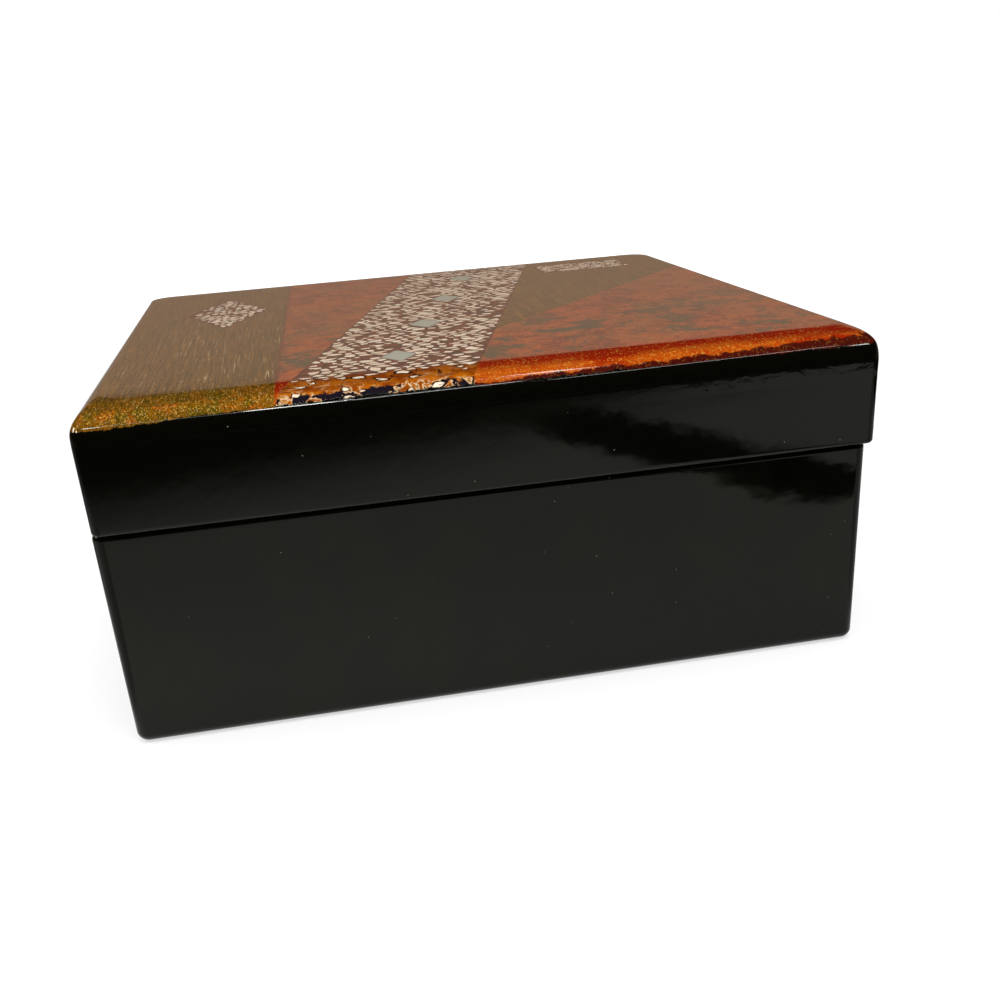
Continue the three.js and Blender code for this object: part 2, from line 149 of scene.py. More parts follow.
class BaseSettings(bpy.types.PropertyGroup):
    corner_radius: length_setting("Corner radius", "Of the base seen from above", 3.2 * MM)
    foot_round: length_setting("Foot radius", "Of the base's lower edge", 2.8 * MM)
    rim_round: length_setting("Rim radius", "Of the base's upper edge", 1.2 * MM)
    black: colour_setting("Black", "Of the outer lacquer", (0.0019, 0.0018, 0.0009))


class InlaySettings(bpy.types.PropertyGroup):
    chip_pitch: length_setting("Chip pitch", "Between the middles of neighbouring chips", 3.1 * MM)
    missing: bpy.props.FloatProperty(
        name="Missing chips", description="Share of the places left empty", default=0.17, subtype="FACTOR"
    )
    thickness: length_setting("Chip thickness", "Of the eggshell under the lacquer", 0.45 * MM)
    white: colour_setting("Eggshell", "Of a clean chip", (0.97, 0.81, 0.63))
    grey: colour_setting("Grey shell", "Of the lozenges", (0.44, 0.49, 0.42))
    seed: bpy.props.IntProperty(name="Seed", description="Of the chips' shapes and places", default=11)


class LiningSettings(bpy.types.PropertyGroup):
    pile_round: length_setting("Pad edge", "Radius of a pad's rolled edge", 0.55 * MM)
    crown: length_setting("Pad crown", "How far a pad swells in its middle", 0.7 * MM)
    sim_voxel: length_setting("Voxel", "Of the mesh that is puffed up", 0.9 * MM)
    sim_cap: length_setting("Cap", "Most that a point moves as a cushion is puffed up", 1.4 * MM)
    sim_pressure: bpy.props.FloatProperty(name="Pressure", description="Inside a cushion", default=4.0)
    sim_frames: bpy.props.IntProperty(name="Frames", description="Of puffing up a cushion", default=20)
    velvet: colour_setting("Velvet", "Of the pads and ring cushions", (0.22, 0.012, 0.022))
    board_black: colour_setting("Liner black", "Of the satin liner and dividers", (0.012, 0.010, 0.009))
    board_red: colour_setting("Tray red", "Of the satin tray", (0.20, 0.014, 0.008))


class StudioSettings(bpy.types.PropertyGroup):
    azimuth: angle_setting("Azimuth", "Of the camera", -9.21)
    elevation: angle_setting("Elevation", "Of the camera", 24.64)
    roll: angle_setting("Roll", "Of the camera", 4.09)
    camera_place: bpy.props.FloatVectorProperty(
        name="Camera", description="Place of the camera", default=(-0.0440, -0.35653, 0.14191),
        subtype="TRANSLATION", unit="LENGTH",
    )
    lens: bpy.props.FloatProperty(
        name="Lens", description="Focal length in millimetres on a 36 mm sensor", default=39.80,
        subtype="DISTANCE_CAMERA",
    )
    shift: bpy.props.FloatVectorProperty(
        name="Shift", description="Lens shift of the photograph's framing", default=(0.0001, 0.1167), size=2
    )
    ambient: bpy.props.FloatProperty(
        name="Ambient", description="Strength of the soft light from all round", default=0.42
    )
    wall_height: length_setting("Wall height", "Top of the pale part of the studio's walls", 0.425)


# The lid's pattern, in millimetres from the lid's middle


BAND_MIDDLE = -0.5
BAND_SLOPE = 0.285
BAND_HALF = 23.0
LEFT_END = -48.0  # across, where the left gold field ends
LEFT_SLOPE = 0.04
RIGHT_START = -54.0  # y, where the back right gold field starts
RIGHT_SLOPE = 1.06
BED_MARGIN = 0.35  # of the lacquer round the band's and the bar's chips
DIAMOND_MARGIN = 0.5
WEAR_HEIGHT = 82.55  # below this the colours are worn through to black
RUNS_HEIGHT = 77.6
FRONT_ZONE = -86.5  # nearer than this the chips are few and the lacquer round them is amber
INLAY_TILT = 58.0  # degrees down the round edge that the chips reach


Place = namedtuple("Place", "x y half_width half_length")  # of a shape in the pattern


def pattern_place(node):
    """Middle and half sizes of an inlay node, in millimetres from the lid's middle."""
    low, high = (np.array(corner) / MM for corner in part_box(node))
    middle = (low + high) / 2 - LID_CENTRE / MM
    half = (high - low) / 2
    return Place(float(middle[0]), float(middle[1]), float(half[0]), float(half[1]))


DIAMOND = pattern_place("eggshell_diamond")
BAR = pattern_place("eggshell_bar")


# Surfaces


# Where a ring's sides have points: close together by the corners, to keep the shading of the flat part flat
SIDE_SHARES = (0.003, 0.02, 0.25, 0.5, 0.75, 0.98, 0.997)
LEAST_CORNER = 0.4 * MM


def rounded_rings(levels, centre, half, corner, arc_steps=18, shares=SIDE_SHARES, lean=0.0):
    """Rings of points, one for each level: its height, its inset and, if it differs, its inset at the sides.

    A ring is the rectangle of the half sizes less the insets. Its corners are quarter circles. Their radius
    is the corner radius, one for all or one for each level, less the inset. Its sides have points at the
    given shares of their length. A ring can lean to the right by a distance of its own.
    """
    columns = np.asarray(levels, float).T[:, :, None]
    height, inset, side_inset = columns if len(columns) == 3 else (*columns, columns[1])
    radius = np.maximum(np.reshape(corner, (-1, 1)) - inset, LEAST_CORNER)
    share = np.linspace(0, 1, arc_steps + 1)
    arcs = []
    for quarter, (sign_x, sign_y) in enumerate([(1, 1), (-1, 1), (-1, -1), (1, -1)]):
        angle = (quarter + share) * math.pi / 2
        x = sign_x * (half[0] - side_inset - radius) + radius * np.cos(angle)
        y = sign_y * (half[1] - inset - radius) + radius * np.sin(angle)
        arcs.append(np.stack([x, y], axis=-1))
    along = np.asarray(shares)[None, :, None]
    parts = []
    for quarter in range(4):
        start, end = arcs[quarter][:, -1:], arcs[(quarter + 1) % 4][:, :1]
        parts += [arcs[quarter], start + (end - start) * along]
    flat = np.concatenate(parts, axis=1) + np.asarray(centre[:2])
    flat[..., 0] += np.reshape(lean, (-1, 1))
    return np.concatenate([flat, np.broadcast_to(height[..., None], flat.shape[:2] + (1,))], axis=2)


def arc_levels(height, inset, radius, start, end, steps):
    """Levels on an arc round a centre: a tilt's cosine lifts it, and 1 less its sine draws it in."""
    tilt = np.radians(np.linspace(start, end, steps + 1))
    return np.stack([height + radius * np.cos(tilt), inset + radius * (1 - np.sin(tilt))], axis=1)


def add_mesh(name, points, faces, creases=35):
    """A mesh object at the origin, smooth except at edges sharper than an angle in degrees."""
    mesh = bpy.data.meshes.new(name)
    mesh.from_pydata(np.asarray(points).reshape(-1, 3).tolist(), [], faces)
    mesh.validate()
    mesh.shade_smooth()
    mesh.set_sharp_from_angle(angle=math.radians(creases))
    piece = bpy.data.objects.new(name, mesh)
    bpy.context.scene.collection.objects.link(piece)
    return piece


def grid_faces(rows, columns, wrap_rows=False):
    """Quads from each ring of a grid to the next. They face out where rings turn left and climb."""
    ring = np.arange(rows if wrap_rows else rows - 1)[:, None]
    point = np.arange(columns)[None, :]
    after, low, high = (point + 1) % columns, ring * columns, (ring + 1) % rows * columns
    return np.stack([low + point, low + after, high + after, high + point], axis=-1).reshape(-1, 4).tolist()


def add_loft(name, rings, caps=True, wrap_rows=False, creases=35):
    """A closed skin through rings of points, with a flat cap on the first and the last ring."""
    rows, columns = rings.shape[:2]
    faces = grid_faces(rows, columns, wrap_rows)
    if caps:
        faces.append(list(range(columns))[::-1])
        faces.append(list(range((rows - 1) * columns, rows * columns)))
    return add_mesh(name, rings, faces, creases)


def finish_piece(piece, body, material, replaced=()):
    """Puts a new piece on its body and what it replaces, and gives it its material."""
    piece.data.materials.append(material)
    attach(piece, body)
    if replaced:
        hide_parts(*replaced)


# Materials


class Socket:
    """A value in a material that can stand in an expression: each operator adds a Math node."""

    def __init__(self, finish, output):
        self.finish = finish
        self.output = output

    def __getitem__(self, name):
        return Socket(self.finish, self.output.node.outputs[name])

    def maths(self, operation, first, second=None):
        return self.finish.node("ShaderNodeMath", {"operation": operation}, {0: first, 1: second})

    def __add__(self, other):
        return self.maths("ADD", self, other)

    def __sub__(self, other):
        return self.maths("SUBTRACT", self, other)

    def __rsub__(self, other):
        return self.maths("SUBTRACT", other, self)

    def __mul__(self, other):
        return self.maths("MULTIPLY", self, other)

    def __truediv__(self, other):
        return self.maths("DIVIDE", self, other)

    def __abs__(self):
        return self.maths("ABSOLUTE", self)

    def most(self, other):
        return self.maths("MAXIMUM", self, other)

    def least(self, other):
        return self.maths("MINIMUM", self, other)

    def root(self):
        return self.maths("SQRT", self)

    __radd__ = __add__
    __rmul__ = __mul__


class Finish:
    """A material being made. Patterns are in millimetres of the piece's own coordinates."""

    def __init__(self, name, owner=None):
        self.material = owner or bpy.data.materials.new(name)
        self.material.use_nodes = True
        self.tree = self.material.node_tree
        self.tree.nodes.clear()
        self.place = self.shade(self.node("ShaderNodeTexCoord")["Object"], 1 / MM)

    def node(self, kind, settings=(), values=()):
        """Adds a node: its settings first, then its sockets' values or links. Gives its first output."""
        made = self.tree.nodes.new(kind)
        for key, value in dict(settings).items():
            setattr(made, key, value)
        for key, value in dict(values).items():
            if isinstance(value, Socket):
                self.tree.links.new(value.output, made.inputs[key])
            elif value is not None:
                made.inputs[key].default_value = value
        return Socket(self, made.outputs[0]) if made.outputs else None

    def axes(self):
        split = self.node("ShaderNodeSeparateXYZ", values={0: self.place})
        return split["X"], split["Y"], split["Z"]

    def noise(self, size, stretch=(1, 1, 1), start=(0, 0, 0), detail=3.0, rough=0.55, warp=0.0):
        """Clouds of about the given size in millimetres, from 0 to 1, that a stretch makes longer."""
        values = {"Vector": self.mapped(stretch, start), "Scale": 1 / size, "Detail": detail}
        values.update({"Roughness": rough, "Distortion": warp})
        return self.node("ShaderNodeTexNoise", {}, values)

    def cells(self, size, stretch=(1, 1, 1), start=(0, 0, 0), feature="F1"):
        """Distance from the middles of scattered cells of about the given size, coloured at random."""
        values = {"Vector": self.mapped(stretch, start), "Scale": 1 / size}
        return self.node("ShaderNodeTexVoronoi", {"feature": feature}, values)

    def mapped(self, stretch, start):
        """The place divided by a stretch and shifted by a start."""
        values = {"Vector": self.place, "Location": start, "Scale": tuple(1 / s for s in stretch)}
        return self.node("ShaderNodeMapping", {}, values)

    def parts(self, cells):
        """The random colour of cells, as its red part, with the green and blue parts by name."""
        return self.node("ShaderNodeSeparateColor", {}, {0: cells["Color"]})

    def soft(self, value, low, high):
        """0 below low and 1 above high, easing between them."""
        values = {0: value, 1: low, 2: high, 3: 0.0, 4: 1.0}
        return self.node("ShaderNodeMapRange", {"interpolation_type": "SMOOTHSTEP"}, values)

    def above(self, value, edge=0.25):
        """1 where a value is above 0, easing over an edge on both sides of 0."""
        return self.soft(value, -edge, edge)

    def patches(self, size, low, high, **clouds):
        """Patches of about the given size: clouds that ease from 0 to 1 between two of their values."""
        return self.soft(self.noise(size, **clouds), low, high)

    def waver(self, size, reach, **clouds):
        """Clouds of about the given size that reach from minus to plus half the reach."""
        return (self.noise(size, **clouds) - 0.5) * reach

    def mix(self, mask, first, second):
        """A colour between two colours."""
        first, second = (c if isinstance(c, Socket) else (*c, 1.0) for c in (first, second))
        return self.node("ShaderNodeMix", {"data_type": "RGBA"}, {0: mask, 6: first, 7: second})[2]

    def layered(self, colour, *layers):
        """A colour with other colours laid over it in turn, each through its own mask."""
        for mask, over in layers:
            colour = self.mix(mask, colour, over)
        return colour

    def shade(self, colour, value):
        """A colour or a place times a value."""
        return self.node("ShaderNodeVectorMath", {"operation": "SCALE"}, {0: colour, "Scale": value})

    def attribute(self, name):
        return self.node("ShaderNodeAttribute", {"attribute_name": name})["Fac"]

    def bump(self, height, distance):
        """Tilts the surface by a height of 0 to 1 that stands for a distance in millimetres."""
        values = {"Height": height, "Distance": distance * MM, "Strength": 1.0}
        return self.node("ShaderNodeBump", {}, values)

    def lacquered(self, colour, roughness, relief, depth, coat=None):
        """Values of gloss lacquer, under a clear coat where its weight is given."""
        values = {"Base Color": colour, "Roughness": roughness, "IOR": LACQUER_IOR}
        values["Normal"] = self.bump(relief, depth)
        if coat is not None:
            values.update({"Coat Weight": coat, "Coat IOR": 1.5, "Coat Roughness": 0.04})
        return values

    def done(self, values):
        self.surface(self.node("ShaderNodeBsdfPrincipled", {}, values))
        return self.material

    def surface(self, shader):
        self.node("ShaderNodeOutputMaterial", {}, {"Surface": shader})


REFLECTION_TINT = (0.97, 1.0, 0.87, 1.0)  # of what the black lacquer mirrors
LACQUER_IOR = 1.26  # low, so that the black lacquer mirrors no more than in the photograph


# Colours that the settings don't hold
BRONZE = (0.056, 0.034, 0.007)
OLIVE = (0.075, 0.052, 0.010)
PALE_GOLD = (0.235, 0.105, 0.014)
SCRATCH = (0.62, 0.46, 0.26)
BROWN_RED = (0.170, 0.022, 0.006)
TAN = (0.255, 0.082, 0.022)
ORANGE = (0.48, 0.150, 0.022)
DARK_BROWN = (0.050, 0.014, 0.005)
STAIN_GREEN = (0.040, 0.046, 0.024)
SEAM_RED = (0.10, 0.018, 0.006)
BED_BROWN = (0.030, 0.006, 0.002)
DARK_AMBER = (0.22, 0.040, 0.001)
CREAM = (0.62, 0.38, 0.13)
PALE_CREAM = (0.66, 0.47, 0.26)
CRACK_BLACK = (0.014, 0.005, 0.003)
POOL_BLACK = (0.010, 0.007, 0.012)
EDGE_GOLD = (0.34, 0.120, 0.004)
EDGE_GREEN = (0.14, 0.098, 0.004)
EDGE_ORANGE = (0.52, 0.125, 0.005)
EDGE_SHADE = (0.045, 0.022, 0.001)
EDGE_WIRE = (0.62, 0.42, 0.16)
DEEP_RED = (0.29, 0.012, 0.0005)
GLOWING_RED = (0.41, 0.056, 0.002)
GLITTER_ORANGE = (0.62, 0.20, 0.014)
STREAK_RED = (0.20, 0.008, 0.0005)
MAROON = (0.050, 0.003, 0.002)
FLAKE_ORANGE = (0.70, 0.30, 0.030)
FLAKE_GOLD = (0.42, 0.26, 0.050)
DUST_GREY = (0.30, 0.28, 0.23)
DUST_WARM = (0.40, 0.35, 0.29)
OUTLINE_BLACK = (0.012, 0.006, 0.004)
BOARD_DUST = (0.2, 0.17, 0.14)
LINT = (0.5, 0.42, 0.40)
SHEEN_TINT = (0.85, 0.30, 0.34, 1.0)
WHITE = (1, 1, 1)
CARD_GREEN = (0.80, 1.0, 0.92, 1)
WALL_GREY = (0.24, 0.162, 0.116)
WALL_DARK = (0.005, 0.0045, 0.0045)


def dust(finish, spacing, radius, share, start=(0, 0, 0)):
    """A mask of specks: one round dot in the given share of cells."""
    cell = finish.cells(spacing, start=start)
    chosen = finish.soft(finish.parts(cell), 1 - share, 1 - 0.9 * share)
    return finish.soft(cell, radius / spacing, 0.6 * radius / spacing) * chosen


def black_lacquer(name, black):
    """High gloss black: a ripple left by the brush, soft smudges and fine dust."""
    finish = Finish(name)
    smudge = finish.patches(34, 0.45, 0.75, stretch=(1.8, 1, 1), detail=4, warp=0.8)
    cloud = finish.patches(22, 0.35, 0.70, start=(7, 3, 1), detail=5, rough=0.6)
    specks = dust(finish, 3.6, 0.17, 0.30).most(dust(finish, 15.0, 0.30, 0.30, start=(5, 5, 5)))
    darker, paler = tuple(0.55 * c for c in black), tuple(1.5 * c for c in black)
    colour = finish.layered(darker, (cloud, paler), (specks * 0.7, DUST_GREY))
    wave = finish.noise(2.2, stretch=(3, 3, 1), start=(3, 1, 4), rough=0.6)
    relief = finish.noise(9, detail=2) * 0.85 + wave * 0.10 + specks * 0.5
    values = finish.lacquered(colour, 0.04 + 0.06 * smudge + 0.3 * specks, relief, 0.05)
    return finish.done({**values, "Specular Tint": REFLECTION_TINT})


class LidPattern:
    """Where the lid's fields, beds and worn edge lie in its material: masks, and millimetres."""

    def __init__(self, finish):
        x, self.y, self.z = finish.axes()
        y, across = self.y, x - LID_CENTRE[0] / MM
        self.across = across
        from_middle = across - (BAND_MIDDLE + BAND_SLOPE * y)
        from_band = BAND_HALF + BED_MARGIN - abs(from_middle)

        # Height over the ragged line below which the lacquer is worn through to black
        ragged = finish.waver(2.4, 1.5, detail=4, rough=0.6, start=(0, 2, 7))
        slow = finish.waver(13, 1.3, detail=2, start=(5, 0, 3))
        higher = 0.5 * finish.above(from_band, 2) - 0.7 * finish.soft(0 - across, 66, 92)
        self.over_wear = self.z - WEAR_HEIGHT - ragged - slow - higher
        loose = finish.patches(0.9, 0.61, 0.66, detail=4, rough=0.7, start=(8, 2, 2))
        loose = loose * finish.soft(self.over_wear, 1.6, 0.2)
        self.worn = finish.above(0 - self.over_wear, 0.14).most(loose)

        # The gold fields, one on the left and one at the back right
        wander = finish.waver(5, 1.3)
        from_left = LEFT_END + LEFT_SLOPE * y - across + wander
        from_right = y - RIGHT_START - RIGHT_SLOPE * across + wander
        back_right = finish.above(from_right) * finish.above(from_middle, 0.05)
        self.gold = finish.above(from_left).most(back_right)
        self.seam = finish.soft(abs(from_left), 0.9, 0.2)

        # The beds under the chips
        beside, ahead = abs(across - DIAMOND.x), abs(y - DIAMOND.y)
        half_width, half_length = DIAMOND.half_width + DIAMOND_MARGIN, DIAMOND.half_length + DIAMOND_MARGIN
        from_diamond = (1 - beside / half_width - ahead / half_length) * DIAMOND.half_width
        beside, ahead = abs(across - BAR.x), abs(y - BAR.y)
        from_bar = (BAR.half_width + BED_MARGIN - beside).least(BAR.half_length + BED_MARGIN - ahead)
        self.bed = finish.above(from_band.most(from_diamond).most(from_bar), 0.12)

        # The front edge, and the lower part of its round
        self.near_front = finish.soft(y, -81.0, -87.0)
        uneven = finish.waver(6, 12, stretch=(2, 1, 1), start=(4, 7, 2), detail=4)
        self.lower = finish.soft(y + uneven, -88.0, -95.0)
        maroon_top = 0.42 + 0.015 * across.most(0) + finish.waver(2.0, 1.5, start=(6, 1, 8), detail=4)
        self.maroon = finish.above(maroon_top - self.over_wear, 0.12)
        streaky = {"stretch": (1, 9, 1), "start": (0, 4, 4), "detail": 4, "rough": 0.7}
        self.streaks = finish.patches(0.42, 0.42, 0.60, **streaky)
        self.grain = finish.patches(0.75, 0.44, 0.60, start=(3, 3, 8), detail=4, rough=0.75)


def brushed_gold(finish, lid, pattern):
    """Fine strokes of gold from front to back, with greener and paler ones, and scratches near the front."""
    strokes = finish.patches(0.55, 0.36, 0.62, stretch=(1, 34, 1), detail=4, rough=0.7)
    greener = finish.patches(5.5, 0.48, 0.72, stretch=(1, 5, 1), start=(4, 0, 0))
    paler = finish.patches(3.2, 0.60, 0.74, stretch=(1, 7, 1), start=(9, 1, 0))
    scratches = finish.patches(0.30, 0.61, 0.67, stretch=(1, 60, 1), start=(11, 2, 0), warp=0.1)
    scratched = finish.patches(12, 0.38, 0.60, start=(2, 12, 3)) * finish.above(10 - pattern.y, 70)
    return finish.layered(
        BRONZE,
        (strokes, tuple(lid.gold)),
        (greener * 0.55, OLIVE),
        (paler * 0.5, PALE_GOLD),
        (scratches * scratched * 0.65, SCRATCH),
    )


def mottled_red(finish, lid, pattern):
    """Clouds of red, with tan, orange and dark brown ones on top, and grey-green stains near the front."""
    stains = finish.patches(17, 0.50, 0.57, start=(1, 6, 2), detail=7, rough=0.75, warp=0.4)
    return finish.layered(
        BROWN_RED,
        (finish.patches(9, 0.40, 0.58, detail=6, rough=0.68, warp=0.9), tuple(lid.red)),
        (finish.patches(26, 0.44, 0.60, start=(8, 8, 1), detail=4) * 0.5, TAN),
        (finish.patches(1.3, 0.50, 0.68, start=(2, 8, 0), detail=4, rough=0.65) * 0.5, ORANGE),
        (finish.patches(4.2, 0.54, 0.64, start=(5, 5, 0), detail=6, rough=0.75) * 0.8, DARK_BROWN),
        (stains * finish.above(-20 - pattern.y, 45) * 0.9, STAIN_GREEN),
    )


def inlay_bed(finish, lid, pattern):
    """Between the chips: red-brown on the face, and at the front amber with cream, cracks and dark pools."""
    face = finish.mix(finish.patches(1.6, 0.42, 0.60), BED_BROWN, tuple(lid.shell_bed))
    low = finish.soft(pattern.over_wear, 2.3, 1.2)
    cream = finish.patches(2.6, 0.52, 0.60, start=(1, 9, 4), detail=5, rough=0.7) * low
    cracks = finish.soft(finish.cells(4.4, start=(3, 1, 5), feature="DISTANCE_TO_EDGE"), 0.060, 0.02)
    swirl = finish.noise(5.5, start=(2, 9, 9), detail=4, rough=0.6, warp=0.6)
    pool_height = pattern.over_wear + finish.waver(3, 1.8, start=(9, 9, 2))
    amber = finish.layered(
        DARK_AMBER,
        (finish.patches(3.4, 0.38, 0.62, start=(6, 6, 1), detail=5), tuple(lid.amber)),
        (cream * 0.6, CREAM),
        (cracks * finish.patches(6, 0.53, 0.57, start=(7, 1, 7)), CRACK_BLACK),
        (finish.soft(swirl, 0.47, 0.50) * finish.soft(pool_height, 1.35, 1.1), POOL_BLACK),
        (finish.soft(abs(swirl - 0.465), 0.026, 0.008) * low * 0.85, PALE_CREAM),
    )
    at_front = finish.above(FRONT_ZONE + 1.5 - pattern.y + finish.waver(4, 4, start=(0, 3, 3)), 1.2)
    return finish.mix(at_front, face, amber)


def edge_gold(finish, pattern):
    """Where gold meets the front edge: gold and green, with orange clumps, a dark grain and pale wires."""
    clumps = finish.patches(4.5, 0.52, 0.60, start=(6, 2, 6), detail=4) * pattern.lower
    return finish.layered(
        EDGE_GOLD,
        (finish.patches(8, 0.36, 0.64, stretch=(1, 2, 1), start=(3, 9, 1), detail=4, rough=0.6), EDGE_GREEN),
        (clumps * 0.7, EDGE_ORANGE),
        (0.88 - 0.45 * pattern.streaks - 0.43 * pattern.grain, EDGE_SHADE),
        (finish.patches(0.30, 0.60, 0.68, stretch=(1, 13, 1), start=(7, 4, 4), detail=2) * 0.6, EDGE_WIRE),
    )


def edge_red(finish, pattern):
    """Where red meets the front edge: deep red that glows orange lower down, over a line of maroon."""
    glow = pattern.lower * finish.patches(11, 0.36, 0.56, stretch=(1.6, 1, 1), start=(3, 1, 9))
    return finish.layered(
        DEEP_RED,
        (glow, GLOWING_RED),
        (glow * pattern.grain * 0.5, GLITTER_ORANGE),
        (pattern.streaks * 0.3, STREAK_RED),
        (pattern.maroon, MAROON),
    )


def flakes(finish, pattern):
    """Single flakes of metal, more of them at the front edge: their mask and their colour."""
    pick = finish.parts(finish.cells(0.30, stretch=(1, 1.8, 1)))
    few = pick.maths("GREATER_THAN", pick, 0.988 - 0.07 * pattern.near_front)
    glint = few * (1 - pattern.bed) * (1 - pattern.maroon * 0.8)
    return glint * (0.35 + 0.25 * pattern.near_front), finish.mix(pick["Green"], FLAKE_ORANGE, FLAKE_GOLD)


def lid_relief(finish, pattern, specks):
    """Height of the lid's lacquer: soft peel, brush ridges, dust, and chips and pits by the worn line."""
    at_wear = finish.soft(abs(pattern.over_wear), 1.6, 0.3) * finish.above(pattern.across + 38, 6)
    chipped = finish.noise(2.6, stretch=(1.6, 1, 1), rough=0.6, start=(1, 5, 6)) * at_wear * 2.6
    ridges = finish.noise(0.5, stretch=(1, 40, 1), detail=2) * pattern.gold * 0.05
    relief = finish.noise(7, detail=2, start=(3, 3, 3)) * 0.7 + ridges + specks * 0.4 + chipped
    pits = finish.noise(2.2, start=(5, 2, 2), rough=0.6) * pattern.bed * finish.above(pattern.over_wear, 0.3)
    relief = relief - at_wear * pattern.worn * 0.5 + pits * 1.8
    # The lacquer has run a little under the right end of the edge
    runs = finish.noise(3.4, stretch=(2.2, 1, 1), start=(4, 4, 8), rough=0.6, warp=0.5)
    under_edge = finish.soft(pattern.across, 20, 75) * finish.soft(abs(pattern.z - RUNS_HEIGHT), 3.4, 0.8)
    return relief + runs * under_edge * 3.0


def lid_lacquer(lid, base):
    """The lid's skin: brushed olive gold and mottled red fields, inlay beds, and wear through to black."""
    finish = Finish("decorated_lacquer")
    pattern = LidPattern(finish)
    specks = dust(finish, 4.0, 0.20, 0.25, start=(2, 2, 0))
    specks = specks.most(dust(finish, 15.0, 0.32, 0.35, start=(5, 5, 5)))
    edge = finish.mix(pattern.gold, edge_red(finish, pattern), edge_gold(finish, pattern))
    colour = finish.layered(
        mottled_red(finish, lid, pattern),
        (pattern.gold, brushed_gold(finish, lid, pattern)),
        (pattern.seam * 0.6, SEAM_RED),
        (pattern.bed, inlay_bed(finish, lid, pattern)),
        (pattern.near_front * (1 - pattern.bed) * 0.96, edge),
        flakes(finish, pattern),
        (pattern.worn, tuple(base.black)),
        (specks * 0.5, DUST_WARM),
    )
    smudge = finish.patches(26, 0.45, 0.75, detail=4, warp=0.6)
    coat = 1 - 0.98 * finish.above(WEAR_HEIGHT - 0.9 - pattern.z, 0.6)
    relief = lid_relief(finish, pattern, specks)
    values = finish.lacquered(colour, 0.05 + 0.05 * smudge + 0.25 * specks, relief, 0.05, coat)
    return finish.done({**values, "Specular Tint": REFLECTION_TINT})


def shell_lacquer(name, tone, dark_edge, base):
    """Eggshell under clear lacquer: a tone for each chip, fine pores, and an outline, darkest in front."""
    finish = Finish(name)
    x, y, z = finish.axes()
    mottle = finish.noise(1.1, detail=4, rough=0.65)
    at_front = finish.above(FRONT_ZONE + 2 - y, 2)
    uneven = finish.waver(1.3, 1.3, start=(4, 4, 0), detail=2) + 0.20
    outline = finish.soft(finish.attribute("rim") + uneven * at_front, 0.25, 0.50)
    colour = finish.layered(
        (0.62 * tone[0], 0.50 * tone[1], 0.40 * tone[2]),
        (finish.attribute("tone"), tone),
        (finish.soft(mottle, 0.45, 0.75) * 0.35, (0.80 * tone[0], 0.66 * tone[1], 0.52 * tone[2])),
        (dust(finish, 0.5, 0.07, 0.5) * 0.5, tuple(0.3 * c for c in tone)),
        (outline * (dark_edge + (1 - dark_edge) * at_front), OUTLINE_BLACK),
        (finish.above(WEAR_HEIGHT + 0.5 - z + finish.waver(1.6, 1.6, detail=4), 0.2), tuple(base.black)),
    )
    relief = finish.noise(2.5, rough=0.6)
    return finish.done(finish.lacquered(colour, 0.07 + 0.08 * mottle, relief, 0.11, 1.0))


# Operators


# The row of lamps ahead that draws the broken line along the lid's front edge: where each starts and ends
# from left to right, its depth and its radiance
LAMP_ROW = [
    (-0.302, -0.264, 0.03, 18),
    (-0.264, -0.111, 0.02, 3),
    (-0.111, -0.010, 0.03, 34),
    (-0.010, 0.200, 0.025, 14),
    (0.200, 0.606, 0.02, 7),
    (0.606, 0.640, 0.04, 24),
]
ROW_PLACE = (-0.483, 1.0)  # y and z of the row
FRONT_EDGE = (-0.1, 0.08)  # y and z of the lid's front edge, which the row faces
# The other lamps: place, the point faced, size, radiance, and whether the lacquer mirrors it
LAMPS = [
    ("left_corner", (-0.80, -0.28, 1.0), (-0.09, -0.09, 0.08), (0.30, 0.10), 14, True),
    ("left_back", (-1.0, 0.30, 0.80), (-0.09, -0.09, 0.08), (0.40, 0.12), 14, True),
    ("above_right", (0.305, 0.12, 1.40), (0, -0.1, 0.08), (0.14, 0.09), 9, True),
    ("front_fill", (0.05, -0.75, 1.0), (0, 0, 0.05), (0.9, 0.4), 3.2, False),
    ("left", (-1.0, -0.25, 0.85), (0, 0, 0.05), (0.5, 0.5), 2.0, False),
    ("right", (1.0, -0.05, 0.85), (0, 0, 0.05), (0.5, 0.5), 2.0, False),
    ("overhead", (0.1, -0.2, 1.9), (0, 0, 0), (1.6, 1.6), 2.8, False),
]
SENSOR = 36  # millimetres


class JEWELRY_OT_studio(bpy.types.Operator):
    """Camera, floor, walls and lamps"""

    bl_idname = "jewelry.studio"
    bl_label = "Studio"

    def execute(self, context):
        studio = context.scene.box_studio
        add_camera(context, studio)
        add_floor()
        add_walls(studio)
        add_world(context, studio)
        add_dark_card()
        for index, (start, end, deep, radiance) in enumerate(LAMP_ROW):
            middle = (start + end) / 2
            place, target = (middle, *ROW_PLACE), (middle * 0.2, *FRONT_EDGE)
            add_lamp(f"row_{index}", place, target, (end - start, deep), radiance, True)
        for lamp in LAMPS:
            add_lamp(*lamp)
        return {"FINISHED"}


